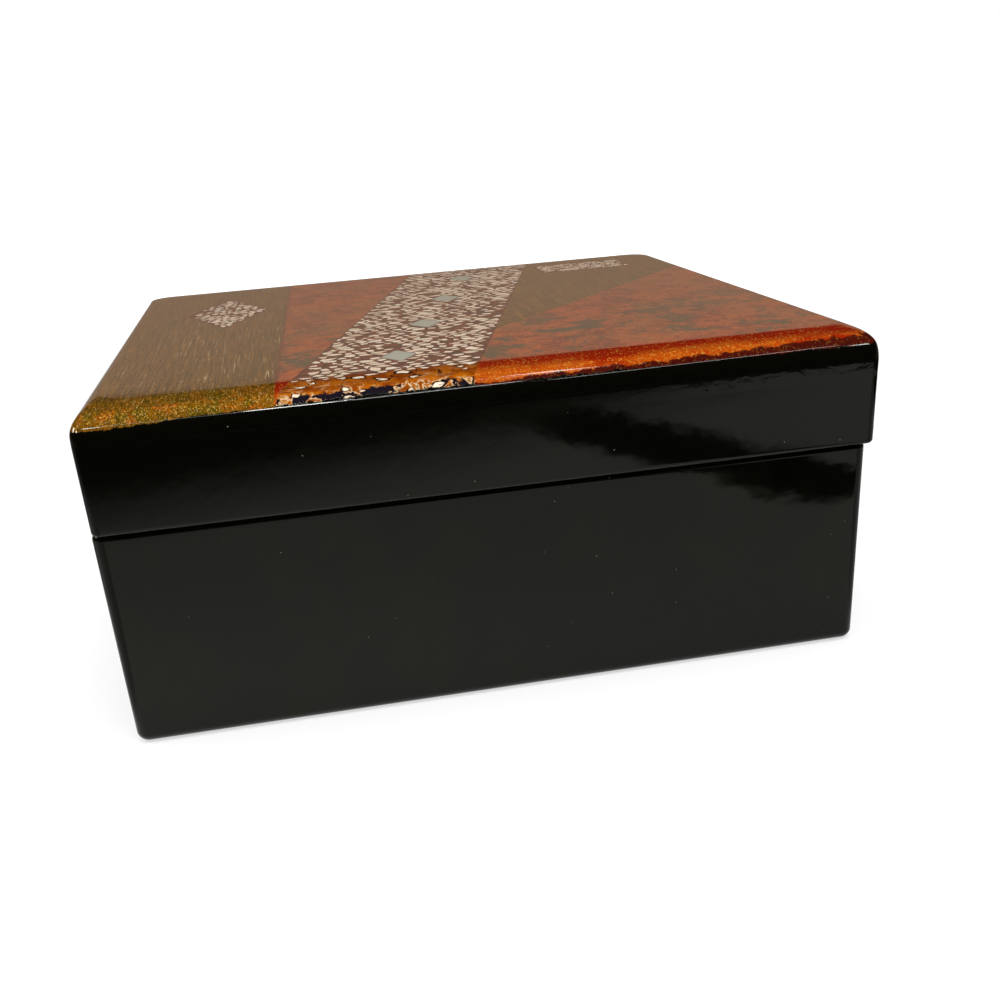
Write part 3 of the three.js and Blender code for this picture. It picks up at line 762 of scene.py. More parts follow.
def add_camera(context, studio):
    """A camera turned by azimuth, elevation and roll; the photograph's crop is the lens shift."""
    azimuth, elevation, roll = studio.azimuth, studio.elevation, studio.roll
    level = math.cos(elevation)
    back = Vector((math.sin(azimuth) * level, -math.cos(azimuth) * level, math.sin(elevation)))
    right = (-back).cross(Vector((0, 0, 1))).normalized()
    down = (-back).cross(right)
    turned_right = math.cos(roll) * right + math.sin(roll) * down
    turned_down = -math.sin(roll) * right + math.cos(roll) * down
    lens = bpy.data.cameras.new("photograph_view")
    lens.sensor_width = SENSOR
    lens.lens = studio.lens
    lens.shift_x, lens.shift_y = studio.shift
    lens.clip_start, lens.clip_end = 0.01, 50
    camera = bpy.data.objects.new("photograph_view", lens)
    turn = Matrix((turned_right, -turned_down, back)).transposed().to_4x4()
    camera.matrix_world = Matrix.Translation(studio.camera_place) @ turn
    context.scene.collection.objects.link(camera)
    context.scene.camera = camera


def add_lamp(name, place, target, size, radiance, mirrored):
    """A soft rectangular lamp that faces a point. One not mirrored only lights surfaces."""
    light = bpy.data.lights.new(name, "AREA")
    light.shape = "RECTANGLE"
    light.size, light.size_y = size
    light.energy = radiance * math.pi * size[0] * size[1]
    lamp = bpy.data.objects.new(name, light)
    direction = Vector(target) - Vector(place)
    lamp.matrix_world = Matrix.Translation(place) @ direction.to_track_quat("-Z", "Y").to_matrix().to_4x4()
    lamp.visible_camera = False
    lamp.visible_glossy = mirrored
    bpy.context.scene.collection.objects.link(lamp)


def show_light(finish, shown, other):
    """One strength for the camera, glossy and transmission rays, and another for the rest."""
    path = finish.node("ShaderNodeLightPath")
    seen = path["Is Camera Ray"].most(path["Is Glossy Ray"]).most(path["Is Transmission Ray"])
    return seen * (shown - other) + other


def add_plate(name, half, height):
    """A level square round the origin, at a height."""
    corners = [(-half, -half, height), (half, -half, height), (half, half, height), (-half, half, height)]
    return add_mesh(name, corners, [[0, 1, 2, 3]])


def add_floor():
    """A pale floor that keeps the box's shadow, with some light of its own for what is seen."""
    floor = add_plate("floor", 2.4, -0.15 * MM)
    finish = Finish("pale_floor")
    x, y, z = finish.axes()
    far = finish.soft((x * x + y * y) * 1e-6, 0.10, 0.5)  # by the square of the distance in metres
    paper = finish.mix(finish.noise(300, detail=2), (0.38, 0.38, 0.38), (0.40, 0.40, 0.395))
    white = finish.shade(WHITE, 0.60 + 0.35 * far)
    seen = show_light(finish, 1.0, 0.0)
    values = {"Base Color": paper, "Roughness": 1.0, "IOR": 1.0}
    finish.done({**values, "Emission Color": white, "Emission Strength": seen})
    floor.data.materials.append(finish.material)


def add_dark_card():
    """A dark card with soft, ragged edges round the floor by the box, which only reflections see.

    It starts some way ahead of the box, along an edge that runs back to the left, and it covers the left,
    right and back. One slanted dark streak crosses the clear floor ahead. Beside the box there is a thinner
    dark part that only the upright corners mirror.
    """
    card = add_plate("dark_card", 1.4, 1 * MM)
    finish = Finish("dark_card")
    x, y, z = finish.axes()
    soft = finish.soft

    # From some distance ahead of the box, measured round its left corner
    beside, ahead = (x + 95).least(0), (0 - y - 95).most(0)
    from_box = (beside * beside + ahead * ahead).root()
    slant = 0.28 * x.most(-120).least(0) + 0.42 * x.most(0)
    ragged = finish.waver(22, 30, stretch=(2.5, 1, 1), detail=5, rough=0.65)
    front = soft(from_box - 170 - slant + ragged, 0, 130)
    sides = soft((0 - x - 135).least(y + 60).most(x - 330).most(y - 150), -20, 45)

    # The streak is 48 mm wide and leans to the right towards the back
    ragged = finish.waver(16, 55, stretch=(1.5, 1, 1), start=(3, 3, 0), detail=5, rough=0.6)
    from_streak = abs((x - 118) * 0.883 - (y + 290) * 0.469 + ragged) - 24
    streak = soft(from_streak, 8, -6) * soft(y, -400, -375) * soft(y, -196, -212)

    # What only the upright corners mirror, left and right of what the front mirrors
    before = (0 - y - 98).most(0)
    left = soft(0 - x - 98 - before * 0.25, 2, 22)
    right = soft(x - 98 - before * 0.60, 2, 22)
    beyond = left.most(right) * soft(0 - y, -150, -90) * 0.5

    cover = front.most(sides).most(streak).most(beyond)
    clear = finish.node("ShaderNodeBsdfTransparent")
    dark = finish.node("ShaderNodeEmission", {}, {"Color": CARD_GREEN, "Strength": 0.025})
    both = finish.node("ShaderNodeMixShader", {}, {0: cover, 1: clear, 2: dark})
    near = soft(y, -240, -100) * soft(0 - x, -160, 60) * (1 - beyond)
    pale = finish.shade(WHITE, near * 0.35)
    glow = finish.node("ShaderNodeEmission", {}, {"Color": pale, "Strength": 1.0})
    finish.surface(finish.node("ShaderNodeAddShader", {}, {0: both, 1: glow}))
    card.data.materials.append(finish.material)
    only_mirrored(card)


def only_mirrored(obj):
    """A stage object that only reflections see."""
    for ray in ("camera", "diffuse", "shadow", "transmission", "volume_scatter"):
        setattr(obj, "visible_" + ray, False)


def add_walls(studio):
    """Four walls that only reflections see: grey below and dark above, and dark behind the camera."""
    half, top = 1.5, 2.6
    corners = np.array([(-1, -1), (1, -1), (1, 1), (-1, 1)]) * half
    rings = [[(x, y, z) for x, y in corners] for z in (-0.01, top)]
    walls = add_mesh("studio_walls", rings, grid_faces(2, 4) + [[4, 5, 6, 7]], creases=1)
    finish = Finish("studio_walls")
    x, y, z = finish.axes()
    over_wall = z - studio.wall_height / MM - 0.04 * x
    dark = finish.soft(over_wall, 0, 4).most(finish.soft(y, -1300, -1400))
    colour = finish.mix(dark, WALL_GREY, WALL_DARK)
    finish.surface(finish.node("ShaderNodeEmission", {}, {"Color": colour, "Strength": 1.0}))
    walls.data.materials.append(finish.material)
    only_mirrored(walls)


def add_world(context, studio):
    """White where it is seen, and a soft ambient light on the box."""
    world = bpy.data.worlds.new("studio")
    context.scene.world = world
    finish = Finish("studio", world)
    strength = show_light(finish, 1.0, studio.ambient)
    background = finish.node("ShaderNodeBackground", {}, {"Color": (*WHITE, 1), "Strength": strength})
    finish.node("ShaderNodeOutputWorld", {}, {"Surface": background})


EDGE_STEP = 0.3 * MM  # from an edge to the next ring on a flat wall, so that shading stays flat on the wall
INNER_RIM_ROUND = 0.8 * MM


class JEWELRY_OT_lid_skin(bpy.types.Operator):
    """The lid's lacquered skin"""

    bl_idname = "jewelry.lid_skin"
    bl_label = "Lid Skin"

    def execute(self, context):
        lid, base = context.scene.box_lid, context.scene.box_base
        levels, lean, corners = lid_profile(lid)
        half = (LID_HIGH - LID_LOW) / 2
        rings = rounded_rings(levels, LID_CENTRE, half, corners, arc_steps=24, lean=lean)
        skin = add_loft("lid_skin", rings)
        finish_piece(skin, "lid", lid_lacquer(lid, base), LID_NODES)
        return {"FINISHED"}


def face_slope(lid):
    """Angle at which the shoulder's parabola meets the edge's arc."""
    return math.atan(2 * lid.shoulder_fall / lid.shoulder_width)


def lid_profile(lid):
    """Levels of the lid's skin from its ceiling round to its face, with each ring's lean and corner radius.

    The front and back edges are an arc and a shoulder, which eases down by a parabola. The left and right
    edges are an arc alone, each with its own radius, so the rings lean from one to the other. The corners
    seen from above grow rounder towards the face by the square of the inset.
    """
    bottom, top = LID_LOW[2], LID_HIGH[2] - lid.inlay_rise
    slope = face_slope(lid)
    arc_height = top - lid.shoulder_fall - lid.top_round * math.cos(slope)
    drawn_in = lid.top_round * (1 - math.sin(slope))
    ease = np.linspace(0, 1, 15)[1:]
    eased = top - lid.shoulder_fall * (1 - ease) ** 2
    shoulder = np.stack([eased, drawn_in + lid.shoulder_width * ease], axis=1)
    walls = np.concatenate(
        [
            [(LID_CEILING, LID_WALL + EDGE_STEP), (LID_CEILING, LID_WALL)],
            [(LID_CEILING - EDGE_STEP, LID_WALL), (bottom + INNER_RIM_ROUND + EDGE_STEP, LID_WALL)],
            arc_inside(bottom, LID_WALL, INNER_RIM_ROUND, 6),
            arc_levels(bottom + lid.rim_round, 0, lid.rim_round, 180, 90, 10),
            [(bottom + lid.rim_round + EDGE_STEP, 0), (arc_height - EDGE_STEP, 0)],
        ]
    )
    edge = np.concatenate([arc_levels(arc_height, 0, lid.top_round, 90, math.degrees(slope), 30), shoulder])
    left, right = (
        radius * (1 - np.sqrt(1 - (1 - np.clip((top - edge[:, 0]) / radius, 0, 1)) ** 2))
        for radius in (lid.left_round, lid.right_round)
    )
    side_inset = np.concatenate([walls[:, 1], (left + right) / 2])
    levels = np.column_stack([np.concatenate([walls, edge]), side_inset])
    lean = np.concatenate([np.zeros(len(walls)), (left - right) / 2])
    grown = np.minimum(edge[:, 1] / lid.top_round, 1) ** 2
    rounder = lid.corner_radius + (lid.face_corner - lid.corner_radius) * grown
    corners = np.concatenate([np.full(len(walls), lid.corner_radius), rounder + edge[:, 1]])
    return levels, lean, corners


def arc_inside(bottom, wall, radius, steps):
    """Levels round the inner edge of a rim, from the inner wall to the rim's flat underside."""
    angle = np.radians(np.linspace(0, 90, steps + 1))
    return np.stack([bottom + radius * (1 - np.sin(angle)), wall - radius * (1 - np.cos(angle))], axis=1)


class JEWELRY_OT_base_skin(bpy.types.Operator):
    """The base's black lacquered skin and its underside"""

    bl_idname = "jewelry.base_skin"
    bl_label = "Base Skin"

    def execute(self, context):
        base = context.scene.box_base
        half = (BASE_HIGH - BASE_LOW) / 2
        bottom, top = BASE_LOW[2], BASE_HIGH[2]
        levels = np.concatenate(
            [
                [(bottom, BASE_WALL)],
                arc_levels(bottom + base.foot_round, 0, base.foot_round, 180, 90, 14),
                [(bottom + base.foot_round + EDGE_STEP, 0), (top - base.rim_round - EDGE_STEP, 0)],
                arc_levels(top - base.rim_round, 0, base.rim_round, 90, 0, 8),
                [(top, BASE_WALL - EDGE_STEP), (top - EDGE_STEP, BASE_WALL)],
            ]
        )
        rings = rounded_rings(levels, (BASE_LOW + BASE_HIGH) / 2, half, base.corner_radius, arc_steps=14)
        skin = add_loft("base_skin", rings, caps=False, wrap_rows=True)
        black = black_lacquer("black_lacquer", tuple(base.black))
        finish_piece(skin, "base", black, BASE_NODES)
        dress_nodes(["base_floor_panel"], black)
        return {"FINISHED"}


def dress_nodes(nodes, material):
    """Gives CAD nodes that stay a new material."""
    for name in nodes:
        node = frame["nodes"][name]
        node.data.materials.clear()
        node.data.materials.append(material)


class JEWELRY_OT_inlay(bpy.types.Operator):
    """The eggshell chips of the band, the diamond and the bar, and the grey lozenges"""

    bl_idname = "jewelry.inlay"
    bl_label = "Eggshell Inlay"

    def execute(self, context):
        inlay, lid, base = context.scene.box_inlay, context.scene.box_lid, context.scene.box_base
        white = shell_lacquer("eggshell", tuple(inlay.white), 0.25, base)
        grey = shell_lacquer("grey_shell", tuple(inlay.grey), 0.35, base)
        lozenges = [pattern_place(node) for node in LOZENGES]
        pitch = inlay.chip_pitch / MM
        places = {
            "shell_band": ("eggshell_band", band_planes(lid), lozenges, 1.0),
            "shell_diamond": ("eggshell_diamond", rhombus_planes(DIAMOND), [], 0.72),
            "shell_bar": ("eggshell_bar", rectangle_planes(BAR), [], 0.58),
        }
        for name, (node, planes, holes, size) in places.items():
            chips = chip_outlines(planes, holes, pitch * size, inlay.missing, inlay.seed + len(holes))
            piece = add_chips(name, chips, inlay, lid)
            finish_piece(piece, "lid", white, [node])
        for node, place in zip(LOZENGES, lozenges):
            piece = add_chips(node.replace("band", "grey"), lozenge_outline(place), inlay, lid)
            finish_piece(piece, "lid", grey, [node])
        return {"FINISHED"}


def lozenge_outline(place):
    """A rhombus as an outline of six corners, two of them near each of its front and back tips."""
    corners = np.array([(1, 0.04), (0.1, 0.93), (-0.08, 0.95), (-0.99, -0.03), (-0.1, -0.94), (0.09, -0.93)])
    return (corners * (place.half_width, place.half_length) + (place.x, place.y))[None]


def band_planes(lid):
    """The slanted band as half planes (a, b, most), inside where a x + b y < most."""
    length = math.hypot(1, BAND_SLOPE)
    reach = unrolled_half(lid)
    right = (1 / length, -BAND_SLOPE / length, (BAND_MIDDLE + BAND_HALF) / length)
    left = (-1 / length, BAND_SLOPE / length, -(BAND_MIDDLE - BAND_HALF) / length)
    return [right, left, (0, 1, reach), (0, -1, reach)]


def rhombus_planes(place):
    """The four slanted sides of a rhombus as half planes."""
    x, y, half_width, half_length = place
    side = math.hypot(half_width, half_length)
    reach = half_width * half_length / side
    ways = [(right * half_length / side, back * half_width / side) for right in (1, -1) for back in (1, -1)]
    return [(a, b, a * x + b * y + reach) for a, b in ways]


def rectangle_planes(place):
    """The four sides of a rectangle as half planes."""
    x, y, half_width, half_length = place
    left_and_right = [(1, 0, x + half_width), (-1, 0, half_width - x)]
    return left_and_right + [(0, 1, y + half_length), (0, -1, half_length - y)]


def unrolled_half(lid):
    """Distance over the surface from the lid's middle to where the inlay ends on the round edge."""
    slope = face_slope(lid)
    start = (LID_HIGH[1] - LID_CENTRE[1] - lid.top_round * (1 - math.sin(slope))) / MM
    return start + (math.radians(INLAY_TILT) - slope) * lid.top_round / MM


SIDES = 6  # corners of a chip seen from above
JITTER = 0.33  # of a chip's middle from its place in the lattice, in pitches
CHIP_STRETCH = (1.3, 1.0)  # of the lattice, across and along
LARGEST_CHIP = 0.87  # share of the way from a chip's middle to the cracks round it
SMALLEST_CHIP = 0.48  # of the largest
MISSING_AT_FRONT = 0.75  # share of the places that stay empty on the front edge
CLEAR_OF_LOZENGE = 1.06  # size of the rhombus that chips keep out of, in lozenges
SCRAP = 0.10  # least area of a chip, in places
RIM_START, RIM_START_AT_FRONT = 0.80, 0.60  # share of the way from a chip's middle to its outline


def chip_lattice(pitch, random):
    """Outlines of chips, six corners each, that cover the lid, in millimetres from its middle.

    Chips stand on a jittered triangular lattice that is stretched across and turned at random. A chip's
    corners are random mixes of its middle and the two neighbours of each triangle round it, so neighbours
    share cracks.
    """
    count = int(286 / pitch)  # enough for the turned lattice to reach the lid's corners
    row, column = np.mgrid[-count : count + 1, -count : count + 1]
    middle = np.stack([(column + 0.5 * (row % 2)) * pitch, row * pitch * math.sqrt(0.75)], axis=-1)
    middle = middle + random.uniform(-JITTER, JITTER, middle.shape) * pitch
    turn = random.uniform(0.2, 0.85)
    axes = np.array([(math.cos(turn), math.sin(turn)), (-math.sin(turn), math.cos(turn))])
    middle = middle @ axes * CHIP_STRETCH
    rows, columns = middle.shape[:2]
    weights = random.dirichlet((1.6, 1.6, 1.6), (2, rows, columns))
    r, c = np.meshgrid(np.arange(1, rows - 2), np.arange(1, columns - 2), indexing="ij")
    odd = (row[r, c] % 2).astype(int)

    def corner(kind, r, c):
        """Kind 0 has its base on row r from c to c + 1 and its tip above; kind 1 has its tip below."""
        tip_row = np.where(kind == 0, r + 1, r - 1)
        tip_column = np.minimum(c + (row[r, c] % 2).astype(int), columns - 1)
        points = middle[r, c], middle[r, np.minimum(c + 1, columns - 1)], middle[tip_row, tip_column]
        weight = weights[kind, r, c]
        return sum(weight[..., i : i + 1] * points[i] for i in range(3))

    # Round a chip from the right, turning left: above right, above, above left, and so on below
    corners = [
        corner(0, r, c),
        corner(1, r + 1, c + odd - 1),
        corner(0, r, c - 1),
        corner(1, r, c - 1),
        corner(0, r - 1, c + odd - 1),
        corner(1, r, c),
    ]
    return np.stack(corners, axis=2).reshape(-1, SIDES, 2)


def chip_outlines(planes, holes, pitch, missing, seed):
    """Outlines of the chips inside half planes and outside rhombic holes, in millimetres over the lid.

    Each chip of the lattice is drawn in by a random share. Its corners are pushed back inside the planes and
    out of the holes. Scraps are left out, and so is a random share of the chips, most on the front edge.
    """
    random = np.random.default_rng(seed)
    outline = chip_lattice(pitch, random)
    centre = outline.mean(axis=1, keepdims=True)
    whole = polygon_area(outline)
    size = random.uniform(SMALLEST_CHIP, 1.0, (len(outline), 1, 1))
    outline = centre + (outline - centre) * LARGEST_CHIP * size
    across, along = centre[:, 0, 0], centre[:, 0, 1]
    inside = np.all([across * a + along * b < most for a, b, most in planes], axis=0)
    for x, y, half_width, half_length in holes:
        inside &= np.abs(across - x) / half_width + np.abs(along - y) / half_length > 1.02
    inside &= random.random(len(outline)) > np.where(along < FRONT_ZONE, MISSING_AT_FRONT, missing)
    outline = outline[inside]
    for x, y, *half in holes:
        away = outline - (x, y)
        apart = (np.abs(away) / half).sum(axis=2, keepdims=True)
        pushed = (x, y) + away * CLEAR_OF_LOZENGE / np.maximum(apart, 0.01)
        outline = np.where(apart < CLEAR_OF_LOZENGE, pushed, outline)
    for _ in range(3):
        for a, b, most in planes:
            over = np.maximum(outline[..., 0] * a + outline[..., 1] * b - most, 0)
            outline = outline - over[..., None] * np.array([a, b])
    return outline[polygon_area(outline) > SCRAP * whole[inside].mean()]


def polygon_area(outline):
    """Area inside each outline, by the sum of the cross products of its corners."""
    x, y = outline[..., 0], outline[..., 1]
    return 0.5 * (x * np.roll(y, -1, axis=1) - np.roll(x, -1, axis=1) * y).sum(axis=1)


def over_lid(flat, rise, lid):
    """Points over the lid's face from places on its unrolled surface, in millimetres from the lid's middle.

    Up to the shoulder the surface is level. On the shoulder it falls by the square of the distance. Past it
    it turns down round the edge's arc, an angle of distance over radius. A point stands off by the rise.
    """
    x, along = flat[..., 0] * MM, flat[..., 1] * MM
    side, along = np.sign(along), np.abs(along)
    slope = face_slope(lid)
    arc_start = LID_HIGH[1] - LID_CENTRE[1] - lid.top_round * (1 - math.sin(slope))
    share = np.clip((along - arc_start + lid.shoulder_width) / lid.shoulder_width, 0, 1)
    tilt = slope * share + np.maximum(along - arc_start, 0) / lid.top_round
    y = np.minimum(along, arc_start) + lid.top_round * (np.sin(np.maximum(tilt, slope)) - math.sin(slope))
    z = LID_HIGH[2] - lid.shoulder_fall * share**2
    z = z - lid.top_round * (math.cos(slope) - np.cos(np.maximum(tilt, slope)))
    y = y + rise * np.sin(tilt)
    z = z + rise * np.cos(tilt)
    return np.stack([x + LID_CENTRE[0], side * y + LID_CENTRE[1], z], axis=-1)


def add_chips(name, outline, inlay, lid):
    """Closed thin plates over the lid, with attributes for each chip's tone and for its dark rim.

    A chip has a middle point, an inner and an outer ring on top, and a ring and a middle point below.
    """
    count = len(outline)
    centre = outline.mean(axis=1, keepdims=True)
    rim_start = np.where(centre[..., 1:] < FRONT_ZONE, RIM_START_AT_FRONT, RIM_START)
    inner = centre + (outline - centre) * rim_start
    top, low = -0.01 * MM, -inlay.thickness
    layers = [(centre, top), (inner, top), (outline, top - 0.012 * MM), (outline, low), (centre, low)]
    points = np.concatenate([over_lid(flat, rise, lid) for flat, rise in layers], axis=1)
    size = points.shape[1]
    first = np.arange(count)[:, None] * size
    corner, after = np.arange(SIDES)[None, :], (np.arange(SIDES)[None, :] + 1) % SIDES
    inner_ring, outer_ring, low_ring = (first + 1 + ring * SIDES for ring in range(3))
    low_middle = first + size - 1
    top_fan = np.stack([first + 0 * corner, inner_ring + corner, inner_ring + after], axis=-1)
    low_fan = np.stack([low_middle + 0 * corner, low_ring + after, low_ring + corner], axis=-1)
    bands = [
        np.stack([upper + corner, lower + corner, lower + after, upper + after], axis=-1)
        for upper, lower in ((inner_ring, outer_ring), (outer_ring, low_ring))
    ]
    faces = [f for part in (top_fan, *bands, low_fan) for f in part.reshape(-1, part.shape[-1]).tolist()]
    piece = add_mesh(name, points, faces, creases=50)
    random = np.random.default_rng(count)
    tone = np.repeat(random.beta(3.0, 1.3, count), size)
    rim = np.tile(np.repeat([0.0, 1.0, 0.0], [1 + SIDES, 2 * SIDES, 1]), count)
    for key, values in (("tone", tone), ("rim", rim)):
        piece.data.attributes.new(key, "FLOAT", "POINT").data.foreach_set("value", values.astype(np.float32))
    return piece


def satin_lacquer(name, colour, top):
    """Satin lacquer on thin boards: faint brush lines, soft clouds, and a rubbed edge at their top."""
    finish = Finish(name)
    x, y, z = finish.axes()
    cloud = finish.patches(24, 0.30, 0.75)
    fine = finish.patches(2.2, 0.30, 0.75, start=(5, 5, 5), detail=5, rough=0.65)
    rubbed = finish.patches(3.5, 0.50, 0.66, start=(1, 1, 4), detail=5, rough=0.7)
    rubbed = rubbed * finish.soft(abs(z - top), 0.5, 0.1)
    tint = finish.layered(
        tuple(0.84 * c for c in colour),
        (cloud * 0.6 + fine * 0.4, tuple(1.14 * c for c in colour)),
        (rubbed * 0.45, tuple(0.015 + 1.7 * c for c in colour)),
        (dust(finish, 6.0, 0.10, 0.15) * 0.4, BOARD_DUST),
    )
    return finish.done(
        {
            "Base Color": tint,
            "Roughness": 0.27 + 0.08 * cloud + 0.12 * rubbed,
            "IOR": 1.45,
            "Normal": finish.bump(finish.noise(0.5, stretch=(26, 26, 1)) * 0.5, 0.03),
        }
    )


class JEWELRY_OT_boards(bpy.types.Operator):
    """Satin lacquer on the liner, the well's dividers and the tray"""

    bl_idname = "jewelry.boards"
    bl_label = "Boards"

    def execute(self, context):
        lining = context.scene.box_lining
        black, red = tuple(lining.board_black), tuple(lining.board_red)
        low_boards = [name for name in TRAY_BOARDS if "cross" in name]
        tall_boards = [name for name in TRAY_BOARDS if "cross" not in name]
        for name, colour, nodes in (
            ("liner_lacquer", black, LINING_BOARDS),
            ("divider_lacquer", black, WELL_DIVIDERS),
            ("tray_lacquer", red, tall_boards),
            ("cross_divider_lacquer", red, low_boards),
        ):
            top = max(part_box(node)[1][2] for node in nodes) / MM
            dress_nodes(nodes, satin_lacquer(name, colour, top))
        return {"FINISHED"}


def velvet_cloth(name, colour):
    """Short-pile velvet: brushed patches and combing, painted lighter where the pile leans one way and
    darker where it leans the other (painted sheen), fine pile, and sheen.
    """
    finish = Finish(name)
    brushed = finish.patches(13, 0.34, 0.70, stretch=(1, 1.9, 1), warp=0.5)
    combed = finish.noise(1.6, stretch=(1, 3, 1), start=(2, 7, 1), detail=4, rough=0.6)
    pile = finish.noise(0.32, detail=2)
    # The lighter brushed and combed patches are painted sheen of the leaning pile, not a change in the dye
    tint = finish.layered(
        tuple(0.62 * c for c in colour),
        (brushed * 0.35 + combed * 0.40 + pile * 0.30, tuple(1.28 * c for c in colour)),
        (dust(finish, 8.0, 0.12, 0.25) * 0.5, LINT),
    )
    return finish.done(
        {
            "Base Color": tint,
            "Roughness": 0.92,
            "IOR": 1.4,
            "Specular IOR Level": 0.2,
            "Sheen Weight": 0.55,
            "Sheen Roughness": 0.35,
            "Sheen Tint": SHEEN_TINT,
            "Normal": finish.bump(pile * 0.7 + combed * 0.4, 0.18),
        }
    )


class JEWELRY_OT_linings(bpy.types.Operator):
    """Velvet pads in the well and the tray, and the velvet in the lid"""

    bl_idname = "jewelry.linings"
    bl_label = "Velvet Pads"

    def execute(self, context):
        lining = context.scene.box_lining
        velvet = velvet_cloth("velvet", tuple(lining.velvet))
        for node in THIN_PADS:
            pad = add_pad(node.replace("_pad_", "_velvet_"), node, lining, 1)
            finish_piece(pad, body_of(frame["nodes"][node])[0], velvet, [node])
        ceiling = add_pad("lid_velvet", "lid_lining", lining, -1)
        finish_piece(ceiling, "lid", velvet, ["lid_lining"])
        return {"FINISHED"}


def add_pad(name, node, lining, side):
    """A pad in the place of a CAD node: its edge rolls over on an arc and its face swells by a cubic curve.

    Side is 1 for a pad that lies and -1 for one that hangs from the lid's ceiling.
    """
    low, high = (np.array(corner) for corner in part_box(node))
    half, centre = (high - low) / 2, (low + high) / 2
    thick, roll = high[2] - low[2], lining.pile_round
    ease = np.linspace(0, 1, 22)[1:]
    reach = min(half[0], half[1]) - 1.5 * MM
    swell = lining.crown * (1 - (1 - ease) ** 3)
    levels = np.concatenate(
        [
            [(0.0, 0.8 * MM), (0.0, 0.15 * MM)],
            [(thick - roll, 0.0)],
            arc_levels(thick - roll, 0, roll, 75, 10, 4),
            np.stack([thick + swell, roll + reach * ease**1.5], axis=1),
        ]
    )
    rings = rounded_rings(levels, centre, half, 2 * MM, arc_steps=5, shares=np.linspace(0, 1, 26)[1:-1])
    x, y, z = rings[..., 0], rings[..., 1], rings[..., 2]
    phase = 40 * (centre[0] + 2 * centre[1])
    ripple = np.sin(260 * x + phase) * np.sin(215 * y - phase) + 0.6 * np.sin(120 * (x - y) + phase)
    z += 0.07 * MM * ripple * (z > thick)
    if side > 0:
        rings[..., 2] = low[2] + z
    else:
        rings[..., 2] = high[2] - z
        rings = rings[:, ::-1]
    return add_loft(name, rings, creases=60)


SIM_SCALE = 10  # times larger than life, where the cloth solver is steady
END_POWER, SECTION_POWER = 0.22, 0.55  # of sine and cosine in a cushion: 1 is round, and less is squarer


class JEWELRY_OT_ring_cushions(bpy.types.Operator):
    """The soft rolls that hold rings"""

    bl_idname = "jewelry.ring_cushions"
    bl_label = "Ring Cushions"

    def execute(self, context):
        lining = context.scene.box_lining
        velvet = bpy.data.materials.get("velvet") or velvet_cloth("velvet", tuple(lining.velvet))
        for index, node in enumerate(RING_ROLLS):
            cushion = add_cushion(node.replace("roll", "cushion"), node, lining, index)
            finish_piece(cushion, "tray", velvet, [node])
        return {"FINISHED"}


def add_cushion(name, node, lining, seed):
    """A roll in the place of a CAD node: a rounded block, puffed up as cloth and fitted back to that place.

    The block's section and ends are squared off by powers of sine and cosine below one, and its surface
    starts a little uneven.
    """
    low, high = (np.array(corner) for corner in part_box(node))
    half, centre = (high - low) / 2, (low + high) / 2
    along = np.linspace(-math.pi / 2, math.pi / 2, 61)[1:-1, None]
    around = np.linspace(0, 2 * math.pi, 48, endpoint=False)[None, :]

    def squared(value, power):
        return np.sign(value) * np.abs(value) ** power

    taper = np.abs(np.cos(along)) ** END_POWER
    x = half[0] * squared(np.sin(along), END_POWER) + 0 * around
    y = half[1] * taper * squared(np.cos(around), SECTION_POWER)
    z = half[2] * taper * squared(np.sin(around), SECTION_POWER)
    random = np.random.default_rng(seed)
    waves = sum(
        random.uniform(0.4, 1) * np.sin(random.uniform(150, 700) * x + random.uniform(0, 6) + k * around)
        for k in range(4)
    )
    uneven = 0.93 + 0.018 * waves
    rings = np.stack([x * 0.985, y * uneven, z * uneven], axis=-1)
    start = add_loft(name + "_start", rings * SIM_SCALE)
    moved, faces = puffed(start, lining)
    cushion = add_mesh(name, fitted(moved / SIM_SCALE, half, centre), faces, creases=80)
    smooth = cushion.modifiers.new("smooth", "SUBSURF")
    smooth.levels = smooth.render_levels = 1
    return cushion


def fitted(points, half, centre):
    """Points scaled axis by axis to fill a box of the half sizes round a centre."""
    low, high = points.reshape(-1, 3).min(axis=0), points.reshape(-1, 3).max(axis=0)
    return (points - (low + high) / 2) * (2 * half / (high - low)) + centre


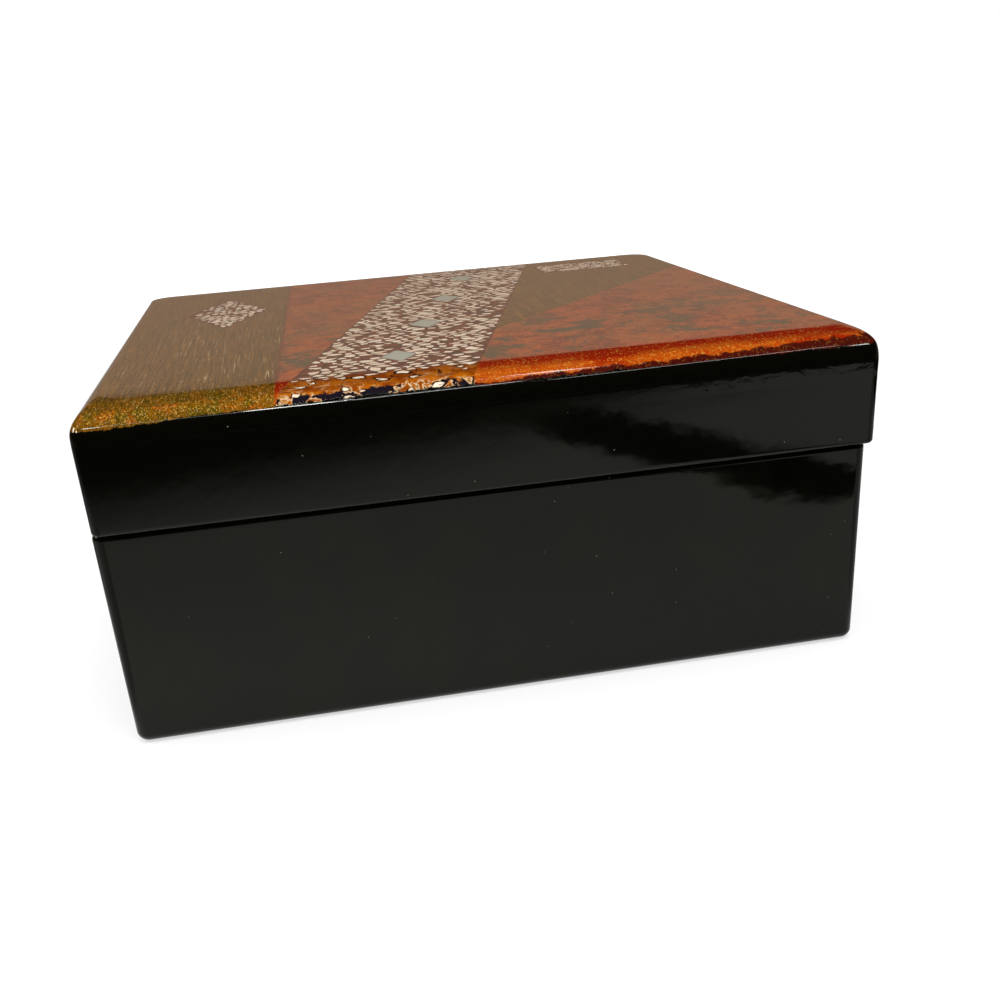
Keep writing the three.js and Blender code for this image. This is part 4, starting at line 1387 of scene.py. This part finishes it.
def puffed(start, lining):
    """Points and faces of a closed mesh puffed up as cloth, its underside held and its movement capped."""
    scene = bpy.context.scene
    remesh = start.modifiers.new("voxels", "REMESH")
    remesh.mode = "VOXEL"
    remesh.voxel_size = lining.sim_voxel * SIM_SCALE
    mesh = bpy.data.meshes.new_from_object(start.evaluated_get(bpy.context.evaluated_depsgraph_get()))
    bpy.data.objects.remove(start)
    cushion = bpy.data.objects.new("cushion_sim", mesh)
    scene.collection.objects.link(cushion)
    rest = vertex_points(mesh)
    underside = np.nonzero(rest[:, 2] < rest[:, 2].min() * 0.82)[0]
    cushion.vertex_groups.new(name="underside").add(underside.tolist(), 1.0, "REPLACE")
    cloth = cushion.modifiers.new("cloth", "CLOTH")
    cloth.settings.use_pressure = True
    cloth.settings.uniform_pressure_force = lining.sim_pressure
    cloth.settings.effector_weights.gravity = 0
    cloth.settings.vertex_group_mass = "underside"
    cloth.settings.quality = 6
    cloth.point_cache.frame_start, cloth.point_cache.frame_end = 1, lining.sim_frames
    for frame_number in range(1, lining.sim_frames + 1):
        scene.frame_set(frame_number)
    blown = cushion.evaluated_get(bpy.context.evaluated_depsgraph_get())
    shift = vertex_points(blown.data) - rest
    cap = lining.sim_cap * SIM_SCALE
    shift *= np.minimum(1, cap / np.maximum(np.linalg.norm(shift, axis=1, keepdims=True), 1e-9))
    faces = [tuple(polygon.vertices) for polygon in mesh.polygons]
    bpy.data.objects.remove(cushion)
    scene.frame_set(1)
    return rest + shift, faces


def vertex_points(mesh):
    """The mesh's points as an array."""
    points = np.empty(len(mesh.vertices) * 3)
    mesh.vertices.foreach_get("co", points)
    return points.reshape(-1, 3)


class JEWELRY_PT_panel(bpy.types.Panel):
    """Lists the steps that dress the box"""

    bl_idname = "JEWELRY_PT_panel"
    bl_label = "Jewelry Box"
    bl_space_type = "VIEW_3D"
    bl_region_type = "UI"
    bl_category = "Jewelry Box"

    def draw(self, context):
        for operator in OPERATORS:
            self.layout.operator(operator.bl_idname)


OPERATORS = (
    JEWELRY_OT_studio,
    JEWELRY_OT_base_skin,
    JEWELRY_OT_lid_skin,
    JEWELRY_OT_inlay,
    JEWELRY_OT_boards,
    JEWELRY_OT_linings,
    JEWELRY_OT_ring_cushions,
)
SETTINGS = {
    "box_lid": LidSettings,
    "box_base": BaseSettings,
    "box_inlay": InlaySettings,
    "box_lining": LiningSettings,
    "box_studio": StudioSettings,
}


def register():
    for kind in (*SETTINGS.values(), *OPERATORS, JEWELRY_PT_panel):
        bpy.utils.register_class(kind)
    for name, kind in SETTINGS.items():
        setattr(bpy.types.Scene, name, bpy.props.PointerProperty(type=kind))


def unregister():
    for name in SETTINGS:
        delattr(bpy.types.Scene, name)
    for kind in reversed((*SETTINGS.values(), *OPERATORS, JEWELRY_PT_panel)):
        bpy.utils.unregister_class(kind)


def main():
    register()
    bpy.context.scene.view_settings.view_transform = "Standard"
    bpy.ops.jewelry.studio()
    bpy.ops.jewelry.base_skin()
    bpy.ops.jewelry.lid_skin()
    bpy.ops.jewelry.inlay()
    bpy.ops.jewelry.boards()
    bpy.ops.jewelry.linings()
    bpy.ops.jewelry.ring_cushions()


if __name__ == "__main__":
    main()
